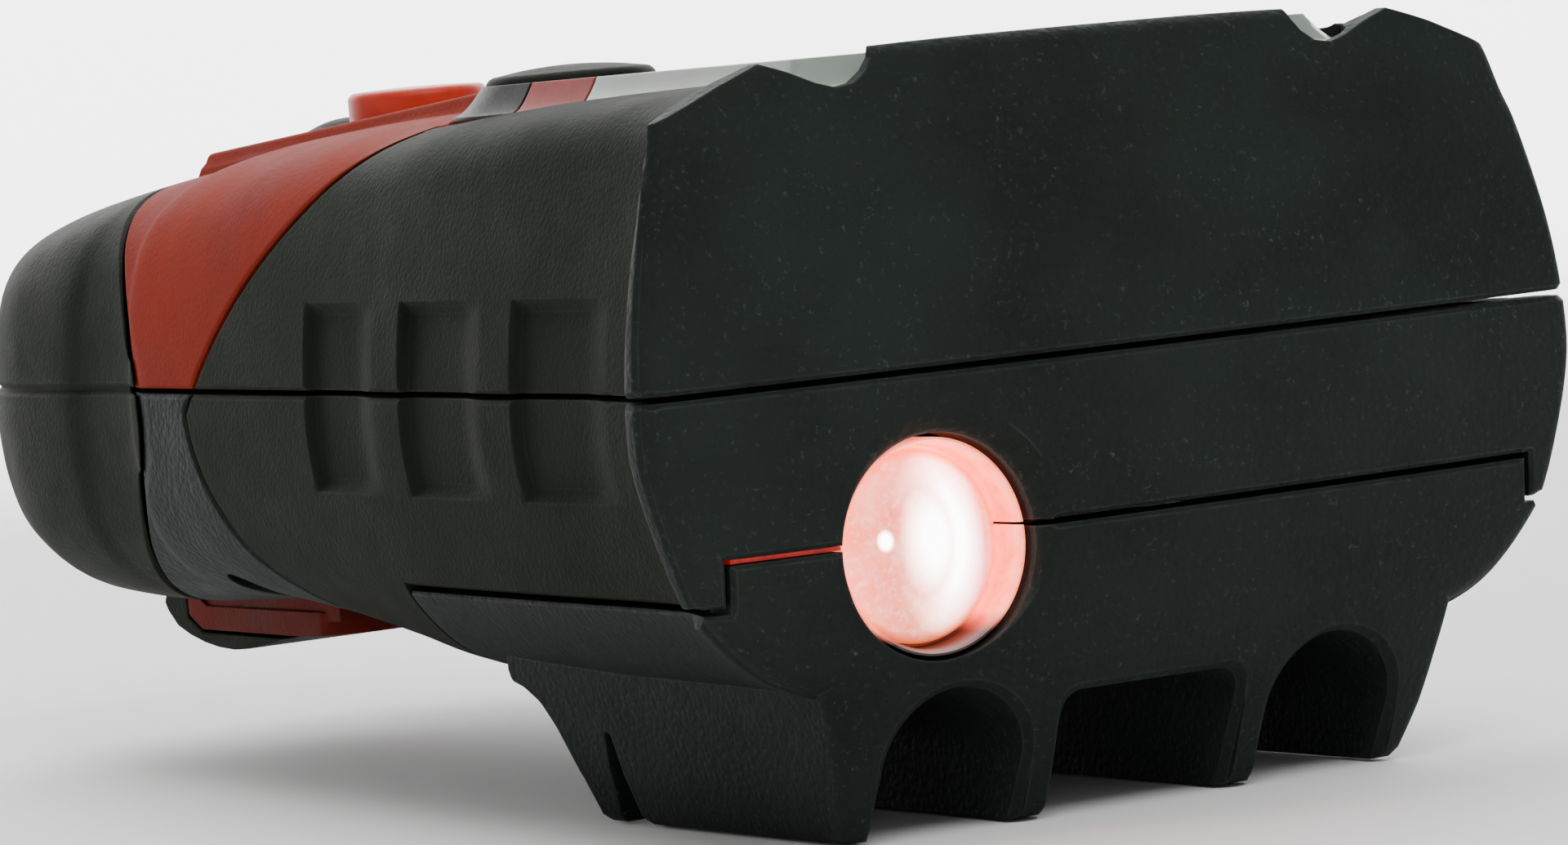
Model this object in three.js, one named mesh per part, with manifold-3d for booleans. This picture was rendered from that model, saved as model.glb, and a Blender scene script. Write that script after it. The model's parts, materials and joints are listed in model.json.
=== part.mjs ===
// Hand-held optical speed gun, in millimetres.
// X is across the nose, Y runs back from the nose, and Z is up from the sole of the docking foot.
// Shapes are drawn with Y = 0 at the tip of the nose; the group is then centred along its length.
import * as THREE from 'three';
import { mergeVertices } from 'three/addons/utils/BufferGeometryUtils.js';
import Module from 'manifold-3d';

const wasm = await Module();
wasm.setup();

// Driving dimensions
const LENGTH = 138;
const MIDDLE_Z = 27.2; // height of the widest line of the body
const UPPER_SEAM = 29.7;
const LOWER_SEAM = 16.2; // side seam of the base cover
const FRONT_SEAM = 19.2; // front seam of the base cover, through the lens hole
const SEAM_HALF_GAP = 0.2;
const GAP = 0.3;
const WALL = 3.0;
const ROOF = 4.0;
const GRIP_DEPTH = 1.5;
const BUMPER_DEPTH = 2.0;
const BUMPER_END = 2.2; // thickness of the bumper's rear wall
const NOSE_END = 6.2;
const COVER_END = 50.3;
const TAB_HALF_WIDTH = 31.2; // half width of the raised front tab of the base cover
const FAR = 80; // larger than any half size of the body

const LENS = { x: -16, z: 18.5, hole: 7.2, sleeve: 6.5, glass: 6.2 };
const FOOT = { arch: { x: 14.7, r: 5.2, top: 9.4 }, slot: { half: 6.9, top: 8.1 } };
const DISPLAY = {
  low: 47.6, high: 49.8, half: 21.6, bevel: 1.7, front: 5.0, glassEnd: 32.4, stripeEnd: 41.2, end: 62,
  well: { half: 18, y0: 8.5, y1: 54, z: 40 },
  module: { half: 17.6, wall: 2, y0: 9, y1: 37.5, z0: 43.9, z1: 47.2 },
};
const KEYS = {
  menu: { y: 71, r: 6.3, top: 50.9, flange: [42.9, 44.1], dome: 0.5 },
  measure: { y: 94.8, r: 5.3, top: 50.3, flange: [40.3, 41.6], dome: 0.15 },
  mode: { y: 106, r: 4.7, top: 48.4, flange: [39.0, 40.1], dome: 0.9 },
};
const KEY_TRAVEL = 0.8;
const KEY_FLANGE = 0.5; // how far a key's hidden flange stands out
const PLATEAU = { half: 10.5, y0: 64, y1: 114, low: 42.5, straight: 84, top: 48.3, slope: 0.0655 };
const GRIP = { near: 21.0, top: 54, bottom: 8 };
const RECESS = { spans: [[10.4, 25.6], [29.6, 43.9], [47.6, 60.9]], low: 22.8, high: 36, depth: 0.8 };
const REAR_SCREW = { x: 20, y: 88, boss: 3.1, foot: 3.4, hole: 1.6, head: 2.8, low: 16.1, high: 36 };
const COVER_SCREW = { x: 14.7, y: 37.2, low: 8.8, high: 18.2 };
const LEDGE = { half: 26, near: 12, y0: 33, y1: 53, z0: 14.2, z1: 18.6 };
const BOARD = { half: 16, y0: 14, y1: 110, z0: 35.0, z1: 36.6 };
const TRIGGER = { half: 9, y: 121.5, z: 15.0, pin: 1.0, pinHalf: 12.4, tip: 97.4 };
const TRIGGER_ROOM = { half: 13.2, y0: 90, y1: 131.5, z: 19 };
const TRIGGER_OPENING = { half: 9.4, y0: 96.9, y1: 126, z: 19.5 };
const TRIGGER_BOARD = { half: 14, y0: 96.5, y1: 114, z0: 24.2, z1: 25.8, notchX: 12, notchEnd: 100.4 };
const DOOR = { half: 12.3, y: 55, z: 11.0, end: 91.8, bead: 1.5 };
const CELL = { r: 5.2, y0: 48.4, y1: 91.9, x: 5.7, z: 21.5 };
const ARC = { y: 85.6, r: 27.6 }; // plan arc along which the rear bumper meets the housings

// Outlines
const VISOR_NOTCH = [[16.1, 52], [16.1, 50.2], [16.9, 48.6], [19.4, 47.8], [24.4, 49.8], [31.5, 46.9],
  [36, 45.1], [36, 52]]; // [x, z]
const FOOT_FRONT = [[-21.9, 0], [21.9, 0], [22.9, 3.5], [23.7, 7], [24.6, 10.4], [24.6, 12], [-24.6, 12],
  [-24.6, 10.4], [-23.7, 7], [-22.9, 3.5]]; // [x, z]
const FOOT_SIDE = [[-5, -1], [37, 0], [37.8, 3], [39.4, 6.4], [40.6, 8.2], [42.2, 9.2], [43.6, 9.6],
  [43.6, 12.2], [-5, 12.2]]; // [y, z]
const FOOT_SLIT = [[31.6, -1], [35.0, -1], [34.6, 1], [33.1, 6.3], [32.3, 6.3], [31.8, 1]]; // [y, z]
const TRIGGER_LIP = [[98.7, 9.1], [TRIGGER.tip, 9.9], [98.4, 10.7], [102, 10.9], [121, 10.9], [124.2, 12.6],
  [124.2, 10.1], [122, 9.0], [105, 8.9]]; // [y, z]
const TRIGGER_STEM = [[99, 10.2], [99.2, 16.2], [116, 16.2], [119.6, 17.4], [123.2, 17.4], [124.2, 15],
  [124.2, 10.2]]; // [y, z]
const TRIGGER_PAD = [[108, 8.7], [112, 8.0], [117, 7.5], [122, 7.9], [126.5, 9.1], [128.6, 10.8],
  [128.2, 11.6], [124.5, 12.0], [124.5, 9.9], [122.1, 8.7]]; // [y, z]

// Materials
const COLOURS = {
  nose_plastic: [0x1b2222, 0.62],
  red_plastic: [0xa8463c, 0.45],
  grip_rubber: [0x20231d, 0.8],
  key_red: [0xe0301a, 0.4],
  key_black: [0x1d211c, 0.5],
  window: [0xb9bfb8, 0.1],
  stripe: [0xd86a72, 0.3],
  lens_glass: [0xffd9d4, 0.05],
  sleeve: [0xf26b52, 0.35],
  board: [0x1f5a34, 0.6],
  metal: [0xb8bcc0, 0.35],
  dark_part: [0x181a1c, 0.55],
  cell: [0x2f4a78, 0.4],
  led: [0xff4030, 0.2],
};

// --- solids ---------------------------------------------------------------------------------

function solid(geometry) {
  const bare = geometry.index ? geometry.toNonIndexed() : geometry.clone();
  bare.deleteAttribute('normal');
  bare.deleteAttribute('uv');
  const merged = mergeVertices(bare, 1e-4);
  return new wasm.Manifold(new wasm.Mesh({
    numProp: 3,
    vertProperties: new Float32Array(merged.attributes.position.array),
    triVerts: new Uint32Array(merged.index.array),
  }));
}

function box(x0, x1, y0, y1, z0, z1) {
  const geometry = new THREE.BoxGeometry(x1 - x0, y1 - y0, z1 - z0);
  geometry.translate((x0 + x1) / 2, (y0 + y1) / 2, (z0 + z1) / 2);
  return solid(geometry);
}

// A cylinder along 'x', 'y' or 'z' from a to b; p and q are its axis in the other two directions.
function cylinder(axis, p, q, a, b, r, sides = 24, rEnd = r) {
  const geometry = new THREE.CylinderGeometry(rEnd, r, b - a, sides);
  const middle = (a + b) / 2;
  if (axis === 'x') geometry.rotateZ(-Math.PI / 2).translate(middle, p, q);
  if (axis === 'y') geometry.translate(p, middle, q);
  if (axis === 'z') geometry.rotateX(Math.PI / 2).translate(p, q, middle);
  return solid(geometry);
}

// A prism of an outline of [y, z] points, along X.
function sidePrism(points, x0, x1) {
  const shape = new THREE.Shape(points.map(([y, z]) => new THREE.Vector2(y, z)));
  const geometry = new THREE.ExtrudeGeometry(shape, { depth: x1 - x0, bevelEnabled: false });
  const turn = new THREE.Matrix4().set(0, 0, 1, x0, 1, 0, 0, 0, 0, 1, 0, 0, 0, 0, 0, 1);
  return solid(geometry.applyMatrix4(turn));
}

// A prism of an outline of [x, z] points, along Y.
function frontPrism(points, y0, y1) {
  const shape = new THREE.Shape(points.map(([x, z]) => new THREE.Vector2(x, z)));
  const geometry = new THREE.ExtrudeGeometry(shape, { depth: y1 - y0, bevelEnabled: false });
  return solid(geometry.rotateX(Math.PI / 2).translate(0, y1, 0));
}

// A closed solid through rings of points, all with the same number of points.
function loft(rings) {
  const count = rings[0].length;
  const points = [];
  const triangle = (a, b, c) => points.push(...a, ...b, ...c);
  for (let i = 0; i + 1 < rings.length; i++) {
    for (let j = 0; j < count; j++) {
      const k = (j + 1) % count;
      triangle(rings[i][j], rings[i + 1][k], rings[i + 1][j]);
      triangle(rings[i][j], rings[i][k], rings[i + 1][k]);
    }
  }
  for (let j = 1; j + 1 < count; j++) {
    const last = rings[rings.length - 1];
    triangle(rings[0][0], rings[0][j + 1], rings[0][j]);
    triangle(last[0], last[j], last[j + 1]);
  }
  const geometry = new THREE.BufferGeometry();
  geometry.setAttribute('position', new THREE.Float32BufferAttribute(points, 3));
  return solid(geometry);
}

// A plate between a lower and an upper outline of [x, y] points.
function bevelledPlate(lower, upper, z0, z1) {
  return loft([lower.map(([x, y]) => [x, y, z0]), upper.map(([x, y]) => [x, y, z1])]);
}

function union(...parts) {
  return parts.reduce((a, b) => a.add(b));
}

function bothSides(make) {
  return make(-1).add(make(1));
}

// --- the body's outer form ------------------------------------------------------------------

// [y, half width, top, bottom, roundness of the section]
const STATIONS = [
  [-0.5, 34.4, 50.1, 9.9, 0], [1.6, 35.9, 50.4, 9.6, 0], [3.0, 36.3, 50.4, 9.4, 0],
  [4.6, 36.1, 50.2, 9.3, 0], [6.2, 34.6, 49.3, 9.2, 0], [8.0, 34.1, 48.9, 9.2, 0],
  [28, 32.5, 48.8, 9.0, 0.1], [45, 31.0, 48.7, 8.9, 0.35], [53, 30.2, 48.6, 9.3, 0.5],
  [60, 29.5, 48.6, 10.2, 0.6], [76, 28.1, 48.3, 11.9, 0.8], [90, 26.8, 47.7, 12.6, 1],
  [95, 26.3, 47.2, 12.5, 1], [97, 25.5, 46.9, 12.3, 1], [106, 24.9, 45.9, 11.9, 1],
  [109, 25.2, 45.6, 11.8, 1], [118, 24.8, 44.6, 12.1, 1], [125, 23.3, 43.7, 13.5, 1],
  [130.5, 20.8, 42.9, 15.7, 1], [135, 17.0, 41.7, 18.5, 1], [138, 12.2, 40.0, 21.5, 1],
];
const SQUARE_UPPER = [[0.4, 1], [0.66, 0.994], [0.81, 0.965], [0.893, 0.885], [0.92, 0.72], [0.955, 0.51],
  [0.983, 0.31], [0.996, 0.136], [1, 0]];
const ROUND_UPPER = [[0.4, 0.975], [0.62, 0.925], [0.77, 0.85], [0.87, 0.75], [0.93, 0.63], [0.965, 0.48],
  [0.985, 0.31], [0.996, 0.14], [1, 0]];
const SQUARE_LOWER = [[0.995, 0.12], [0.972, 0.303], [0.922, 0.606], [0.882, 0.712], [0.808, 0.862],
  [0.725, 0.952], [0.62, 1], [0.3, 1]];
const ROUND_LOWER = [[0.997, 0.14], [0.985, 0.33], [0.95, 0.56], [0.895, 0.71], [0.8, 0.85], [0.67, 0.94],
  [0.5, 0.988], [0.25, 1]];

function section([y, half, top, bottom, round], inset) {
  const mix = (a, b) => a.map(([u, v], i) => [u + (b[i][0] - u) * round, v + (b[i][1] - v) * round]);
  const width = half - inset.side;
  const up = top - inset.top - MIDDLE_Z;
  const down = MIDDLE_Z - bottom - inset.bottom;
  const right = [[0, MIDDLE_Z + up]];
  mix(SQUARE_UPPER, ROUND_UPPER).forEach(([u, v]) => right.push([u * width, MIDDLE_Z + v * up]));
  mix(SQUARE_LOWER, ROUND_LOWER).forEach(([u, v]) => right.push([u * width, MIDDLE_Z - v * down]));
  right.push([0, MIDDLE_Z - down]);
  const left = right.slice(1, -1).reverse().map(([x, z]) => [-x, z]);
  return [...right, ...left].map(([x, z]) => [x, y, z]);
}

function bodyForm(depth) {
  return loft(STATIONS.map((s) => section(s, { side: depth, top: depth, bottom: depth })));
}

function cavityForm() {
  const deeper = BUMPER_DEPTH + GAP + 2;
  const rings = STATIONS.filter(([y]) => y > 3 && y < 134).map((s) => {
    const side = s[0] > 92 ? deeper : WALL;
    return section(s, { side, top: Math.max(side, ROOF), bottom: side });
  });
  return loft(rings.map((ring, i) => (i === 0 ? ring.map(([x, , z]) => [x * 0.95, 4.4, z]) : ring)));
}

// The convex front: a block whose face bulges towards -Y by a few millimetres.
function noseForm() {
  const chin = (z) => 0.01 * Math.max(0, 12 - z) ** 2;
  const face = (x, z) => 1.9 * (x / 35) ** 2 + 2.2 * ((z - MIDDLE_Z) / 20) ** 2 + chin(z);
  const columns = 10;
  const rows = 10;
  const half = 40;
  const height = 54;
  const point = (i, j) => {
    const x = -half + (2 * half * i) / columns;
    const z = -2 + (height * j) / rows;
    return [x, face(x, z), z];
  };
  const points = [];
  const quad = (a, b, c, d) => points.push(...a, ...b, ...c, ...a, ...c, ...d);
  const back = ([x, , z]) => [x, LENGTH + 5, z];
  for (let i = 0; i < columns; i++) {
    for (let j = 0; j < rows; j++) {
      const [a, b, c, d] = [point(i, j), point(i + 1, j), point(i + 1, j + 1), point(i, j + 1)];
      quad(a, b, c, d);
      quad(back(a), back(d), back(c), back(b));
    }
    const [lowA, lowB, highA, highB] = [point(i, 0), point(i + 1, 0), point(i, rows), point(i + 1, rows)];
    quad(back(lowA), back(lowB), lowB, lowA);
    quad(highA, highB, back(highB), back(highA));
  }
  for (let j = 0; j < rows; j++) {
    const [leftA, leftB] = [point(0, j), point(0, j + 1)];
    const [rightA, rightB] = [point(columns, j), point(columns, j + 1)];
    quad(leftA, leftB, back(leftB), back(leftA));
    quad(back(rightA), back(rightB), rightB, rightA);
  }
  const geometry = new THREE.BufferGeometry();
  geometry.setAttribute('position', new THREE.Float32BufferAttribute(points, 3));
  return solid(geometry);
}

const outer = bodyForm(0);
const nose = noseForm();
const cavity = cavityForm();
const shell = outer.intersect(nose).subtract(cavity);

// --- regions that the pieces are cut by -----------------------------------------------------

const above = (z) => box(-FAR, FAR, -FAR, LENGTH + FAR, z, z + FAR);
const below = (z) => box(-FAR, FAR, -FAR, LENGTH + FAR, z - FAR, z);
const behind = (y) => box(-FAR, FAR, y, LENGTH + FAR, -FAR, FAR);
const infrontOf = (y) => box(-FAR, FAR, -FAR, y, -FAR, FAR);

// Everything behind the plan arc where the rear bumper starts.
function bumperRegion(grow) {
  const start = behind(ARC.y);
  return start.subtract(cylinder('z', 0, ARC.y, -FAR, FAR, ARC.r - grow, 48));
}

// The side outline of a grip: a curve that falls from the top edge down to the seam, then forward.
function gripOutline(grow) {
  const front = NOSE_END + GAP - grow;
  const upper = new THREE.QuadraticBezierCurve(
    new THREE.Vector2(35, 54), new THREE.Vector2(71, 42), new THREE.Vector2(84, UPPER_SEAM - 1.5));
  const lower = new THREE.QuadraticBezierCurve(
    new THREE.Vector2(84, UPPER_SEAM - 2), new THREE.Vector2(82, 19), new THREE.Vector2(70, 12));
  const edge = [...upper.getPoints(10), ...lower.getPoints(6)].map((p) => [p.x + grow, p.y + grow * 0.4]);
  return [[front, GRIP.top], ...edge, [58, GRIP.bottom], [front, GRIP.bottom]].reverse();
}

function gripRegion(side, grow) {
  const near = GRIP.near - grow;
  return sidePrism(gripOutline(grow), side < 0 ? -FAR : near, side < 0 ? -near : FAR);
}

// The base cover's share of the shell: all below the side seam, and the raised front tab.
function coverRegion(grow) {
  const main = box(-FAR, FAR, -FAR, COVER_END + grow, -FAR, LOWER_SEAM + grow);
  const tab = TAB_HALF_WIDTH + grow;
  return main.add(box(-tab, tab, -FAR, 5.2 + grow, -FAR, FRONT_SEAM + grow));
}

function fingerRecesses() {
  const blocks = RECESS.spans.map(([y0, y1]) => box(-FAR, FAR, y0, y1, RECESS.low, RECESS.high));
  return union(...blocks).subtract(bodyForm(RECESS.depth));
}

// --- outer pieces ---------------------------------------------------------------------------

function displayOutline(inset) {
  const half = DISPLAY.half - inset;
  const front = DISPLAY.front + inset;
  const end = DISPLAY.end - inset;
  return [[-half, front], [half, front], [half, end - 14], [half * 0.85, end - 7], [half * 0.45, end - 1.5],
    [0, end], [-half * 0.45, end - 1.5], [-half * 0.85, end - 7], [-half, end - 14]];
}

const { well } = DISPLAY;
const displayPocket = bevelledPlate(displayOutline(-GAP), displayOutline(-GAP), DISPLAY.low - GAP, FAR)
  .add(box(-well.half, well.half, well.y0, well.y1, well.z, FAR));
const displayTop = displayOutline(DISPLAY.bevel);
const displayPlate = bevelledPlate(displayOutline(0), displayTop, DISPLAY.low, DISPLAY.high);

function keyHoles() {
  return union(...Object.values(KEYS).map((k) => cylinder('z', 0, k.y, 30, FAR, k.r + GAP, 32)));
}

function visorNotches() {
  return bothSides((side) => {
    const outline = VISOR_NOTCH.map(([x, z]) => [side * x, z]);
    return frontPrism(side < 0 ? outline.reverse() : outline, -2, DISPLAY.front + 0.2);
  });
}

function noseCap() {
  return shell.intersect(infrontOf(NOSE_END)).intersect(above(UPPER_SEAM + SEAM_HALF_GAP))
    .subtract(visorNotches()).subtract(displayPocket);
}

const plateauTop = (y) => PLATEAU.top - (y - PLATEAU.straight) * PLATEAU.slope;

// The raised strip round the measure and mode keys, which ends along the bumper's arc.
function keypadPlateau() {
  const { half, y0, y1, low, straight, top } = PLATEAU;
  const side = [[y0, low], [y1, low], [y1, plateauTop(y1)], [straight, top], [y0, top]];
  const rear = cylinder('z', 0, ARC.y, 0, FAR, ARC.r - GAP, 48);
  return sidePrism(side, -half, half).intersect(rear).subtract(cavity);
}

// A vertical cylinder at each of a pair of screws.
function atScrews(screw, z0, z1, r, sides = 16) {
  return bothSides((side) => cylinder('z', side * screw.x, screw.y, z0, z1, r, sides));
}

function upperHousing() {
  const bosses = atScrews(REAR_SCREW, UPPER_SEAM + SEAM_HALF_GAP, 44, REAR_SCREW.boss).intersect(outer);
  return shell.intersect(above(UPPER_SEAM + SEAM_HALF_GAP)).intersect(behind(NOSE_END + GAP))
    .add(keypadPlateau()).add(bosses)
    .subtract(atScrews(REAR_SCREW, 20, REAR_SCREW.high + 0.6, REAR_SCREW.hole))
    .subtract(housingRecess()).subtract(displayPocket).subtract(keyHoles());
}

// What the grips and the rear bumper take out of the housings' outer skin, with a gap.
function housingRecess() {
  const underGrip = bodyForm(GRIP_DEPTH + GAP);
  const underBumper = bodyForm(BUMPER_DEPTH + GAP);
  const grips = bothSides((side) => gripRegion(side, GAP)).subtract(underGrip);
  const bumper = bumperRegion(GAP).subtract(underBumper).subtract(triggerRoom(-GAP));
  return union(grips, bumper, behind(LENGTH - BUMPER_END - GAP));
}

function lensHole() {
  const wall = cylinder('y', LENS.x, LENS.z, -5, 14, LENS.hole, 32);
  return wall.add(cylinder('y', LENS.x, LENS.z, -0.6, 1.3, LENS.hole + 1.9, 32, LENS.hole));
}

// The shelf inside the lower housing that the base cover is screwed to.
function coverLedge() {
  const { half, near, y0, y1, z0, z1 } = LEDGE;
  const shelf = box(-half, half, y0, y1, z0, z1).intersect(outer).subtract(box(-near, near, 0, 60, 0, 30));
  return shelf.subtract(box(-FAR, FAR, 0, COVER_END + 0.4, 0, LOWER_SEAM + SEAM_HALF_GAP));
}

// Ears for the trigger's pin and ribs that hold its board.
function triggerSupports() {
  const ears = bothSides((side) => box(side * 11.2 - 1.5, side * 11.2 + 1.5, 117, 126, 12.6, 19));
  const ribs = bothSides((side) => box(side * 12 - 2, side * 12 + 2, 97, 100, 14, 26));
  return ears.intersect(outer).add(ribs);
}

function lowerHousing() {
  const { half, y0, y1, z } = TRIGGER_OPENING;
  const bosses = atScrews(REAR_SCREW, 14, UPPER_SEAM - SEAM_HALF_GAP, REAR_SCREW.foot).intersect(outer);
  return shell.intersect(below(UPPER_SEAM - SEAM_HALF_GAP)).subtract(coverRegion(SEAM_HALF_GAP))
    .add(coverLedge()).add(bosses).add(triggerSupports())
    .subtract(atScrews(REAR_SCREW, 5, 18, REAR_SCREW.head))
    .subtract(atScrews(REAR_SCREW, 5, 40, REAR_SCREW.hole))
    .subtract(atScrews(COVER_SCREW, 5, 25, REAR_SCREW.hole))
    .subtract(housingRecess())
    .subtract(box(-half, half, y0, y1, 5, z))
    .subtract(pinHole(14, TRIGGER.pin + 0.1))
    .subtract(doorOpening()).subtract(lensHole());
}

function pinHole(half, r) {
  return cylinder('x', TRIGGER.y, TRIGGER.z, -half, half, r, 16);
}

function footBlock() {
  const block = frontPrism(FOOT_FRONT, -3, 50).intersect(sidePrism(FOOT_SIDE, -FAR, FAR));
  return block.intersect(nose).subtract(footChannels());
}

function footChannels() {
  const { arch, slot } = FOOT;
  const arches = bothSides((side) => cylinder('y', side * arch.x, arch.top - arch.r, -9, 60, arch.r, 24)
    .add(box(side * arch.x - arch.r, side * arch.x + arch.r, -9, 60, -9, arch.top - arch.r)));
  const h = slot.half;
  const t = slot.top;
  const middle = frontPrism([[-h, -9], [h, -9], [h, t - 1.6], [h - 0.5, t - 0.5], [h - 1.6, t], [1.6 - h, t],
    [0.5 - h, t - 0.5], [-h, t - 1.6]], -9, 60);
  const slit = bothSides((side) => sidePrism(FOOT_SLIT, side < 0 ? -FAR : 19, side < 0 ? -19 : FAR));
  return union(arches, middle, slit);
}

function baseCover() {
  const region = coverRegion(-SEAM_HALF_GAP);
  const skin = shell.intersect(region);
  const foot = footBlock().intersect(region).subtract(cavity);
  const room = { half: LEDGE.half + 1, near: LEDGE.near - GAP, y: LEDGE.y0 - GAP, z: LEDGE.z0 - GAP };
  const between = box(-room.near, room.near, 0, 70, 0, 40);
  const ledgeRoom = box(-room.half, room.half, room.y, 60, room.z, 30).subtract(between);
  return skin.add(foot).subtract(footChannels()).subtract(lensHole())
    .subtract(atScrews(COVER_SCREW, 0, COVER_SCREW.low + 1.8, REAR_SCREW.head))
    .subtract(atScrews(COVER_SCREW, 0, 20, REAR_SCREW.hole))
    .subtract(ledgeRoom.intersect(above(LOWER_SEAM - SEAM_HALF_GAP)));
}

function grip(side, upper) {
  const layer = outer.subtract(bodyForm(GRIP_DEPTH)).intersect(gripRegion(side, 0));
  const skin = layer.subtract(fingerRecesses());
  if (upper) return skin.intersect(above(UPPER_SEAM + SEAM_HALF_GAP)).subtract(displayPocket);
  return skin.intersect(below(UPPER_SEAM - SEAM_HALF_GAP)).subtract(coverRegion(SEAM_HALF_GAP));
}

// The rear bumper stays clear of the trigger here, and the lower housing comes down flush with it.
function triggerRoom(grow) {
  const { half, y0, y1, z } = TRIGGER_ROOM;
  return box(-half - grow, half + grow, y0, y1 + grow, 0, z + grow);
}

function rearBumper() {
  const inside = bodyForm(BUMPER_DEPTH).intersect(infrontOf(LENGTH - BUMPER_END));
  return outer.intersect(bumperRegion(0)).subtract(inside).subtract(triggerRoom(0));
}

function doorOpening() {
  const slot = box(-DOOR.half - GAP, DOOR.half + GAP, DOOR.y, DOOR.end + GAP, 5, 17.5);
  const bead = cylinder('x', DOOR.y, DOOR.z, -DOOR.half - GAP, DOOR.half + GAP, DOOR.bead + GAP, 24);
  const pins = cylinder('x', DOOR.y, DOOR.z, -DOOR.half - 1.9, DOOR.half + 1.9, 1.0, 16);
  const front = box(-DOOR.half - GAP, DOOR.half + GAP, DOOR.y - DOOR.bead - GAP, DOOR.y, 5, DOOR.z)
    .add(box(-DOOR.half - GAP, DOOR.half + GAP, DOOR.y - DOOR.bead - GAP, DOOR.y + 1, DOOR.z, 17.5));
  return union(slot, bead, pins, front);
}

function batteryDoor() {
  const plate = shell.intersect(box(-DOOR.half, DOOR.half, DOOR.y, DOOR.end, 5, 17));
  const bead = cylinder('x', DOOR.y, DOOR.z, -DOOR.half, DOOR.half, DOOR.bead, 24);
  const pins = cylinder('x', DOOR.y, DOOR.z, -DOOR.half - 1.5, DOOR.half + 1.5, 0.8, 16);
  const nail = cylinder('x', DOOR.end - 3.5, 11.5, -5, 5, 1.6, 16);
  return union(plate, bead, pins).subtract(nail);
}

// --- keys and trigger -----------------------------------------------------------------------

function key({ y, r, top, flange, dome }) {
  const [low, high] = flange;
  const out = r + KEY_FLANGE;
  const profile = [[0, low], [out, low], [out, high], [r, high], [r, top - 0.5 - dome],
    [r - 0.4, top - dome], [r * 0.6, top - dome * 0.35], [0, top]];
  const geometry = new THREE.LatheGeometry(profile.map(([x, z]) => new THREE.Vector2(x, z)), 24);
  return solid(geometry.rotateX(Math.PI / 2).translate(0, y, 0));
}

function keySwitch({ y, flange }) {
  const top = flange[0] - KEY_TRAVEL - 0.1;
  const low = BOARD.z1 + GAP;
  return box(-3, 3, y - 3, y + 3, low, low + 0.9).add(cylinder('z', 0, y, low + 0.5, top, 1.6, 16));
}

function triggerLever() {
  const stemHalf = TRIGGER.half - 0.1;
  const lip = sidePrism(TRIGGER_LIP, -TRIGGER.half, TRIGGER.half);
  return lip.add(sidePrism(TRIGGER_STEM, -stemHalf, stemHalf)).subtract(pinHole(20, TRIGGER.pin + 0.05));
}

const SPRING = { y: 109, low: 16.5, high: 24.0, r: 2.2, wire: 0.35, turns: 5 };

class Helix extends THREE.Curve {
  getPoint(t, target = new THREE.Vector3()) {
    const angle = 2 * Math.PI * SPRING.turns * t;
    const z = SPRING.low + SPRING.wire + (SPRING.high - SPRING.low - 2 * SPRING.wire) * t;
    return target.set(SPRING.r * Math.cos(angle), SPRING.y + SPRING.r * Math.sin(angle), z);
  }
}

function triggerSpring() {
  const ring = new THREE.Shape();
  ring.absarc(0, 0, SPRING.wire, 0, 2 * Math.PI, false);
  const steps = SPRING.turns * 10;
  const options = { steps, extrudePath: new Helix(), bevelEnabled: false, curveSegments: 3 };
  return solid(new THREE.ExtrudeGeometry(ring, options));
}

// --- inside ---------------------------------------------------------------------------------

function sleeve(upper) {
  const tube = cylinder('y', LENS.x, LENS.z, 2.2, 9, LENS.hole - GAP, 32)
    .add(box(-26, -6, 5.9, 7.4, upper ? FRONT_SEAM : 16.5, upper ? 27 : FRONT_SEAM));
  const bore = cylinder('y', LENS.x, LENS.z, 0, 12, LENS.sleeve, 32);
  const half = upper ? above(FRONT_SEAM + 0.1) : below(FRONT_SEAM - 0.1);
  return tube.subtract(bore).intersect(half);
}

function frontLens() {
  const profile = [[0, 3.5], [3, 3.65], [5, 3.95], [LENS.glass, 4.4], [LENS.glass, 8.4], [0, 8.4]];
  const geometry = new THREE.LatheGeometry(profile.map(([r, y]) => new THREE.Vector2(r, y)), 28);
  return solid(geometry.translate(LENS.x, 0, LENS.z));
}

function lensBarrel() {
  return cylinder('y', LENS.x, LENS.z, 9.3, 24, 7.6, 28).intersect(above(13.9))
    .subtract(cylinder('y', LENS.x, LENS.z, 8, 30, 5.6, 28));
}

function screw(side, { x, y, low, high }) {
  const long = 1.5;
  const slot = 0.35;
  const deep = low + 0.7;
  const across = box(-long, long, -slot, slot, low - 1, deep);
  const along = box(-slot, slot, -long, long, low - 1, deep);
  const head = cylinder('z', 0, 0, low, low + 1.6, 2.5, 14);
  return head.add(cylinder('z', 0, 0, low + 1, high, 1.4, 12))
    .subtract(across.add(along)).translate([side * x, y, 0]);
}

function cell(side) {
  return cylinder('y', side * CELL.x, CELL.z, CELL.y0 + 1, CELL.y1, CELL.r, 24)
    .add(cylinder('y', side * CELL.x, CELL.z, CELL.y0, CELL.y0 + 2, 2, 12));
}

function contact(y) {
  return box(-10.5, 10.5, y, y + 0.5, 17.5, 26);
}

function displayHolder() {
  const { half, wall, y0, y1, z0 } = DISPLAY.module;
  const hole = box(wall - half, half - wall, y0 + wall, y1 - wall, 30, 50);
  return box(-half, half, y0, y1, BOARD.z1 + GAP, z0 - GAP).subtract(hole);
}

function displayModule() {
  const { half, y0, y1, z0, z1 } = DISPLAY.module;
  return box(-half, half, y0, y1, z0, z1);
}

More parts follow.
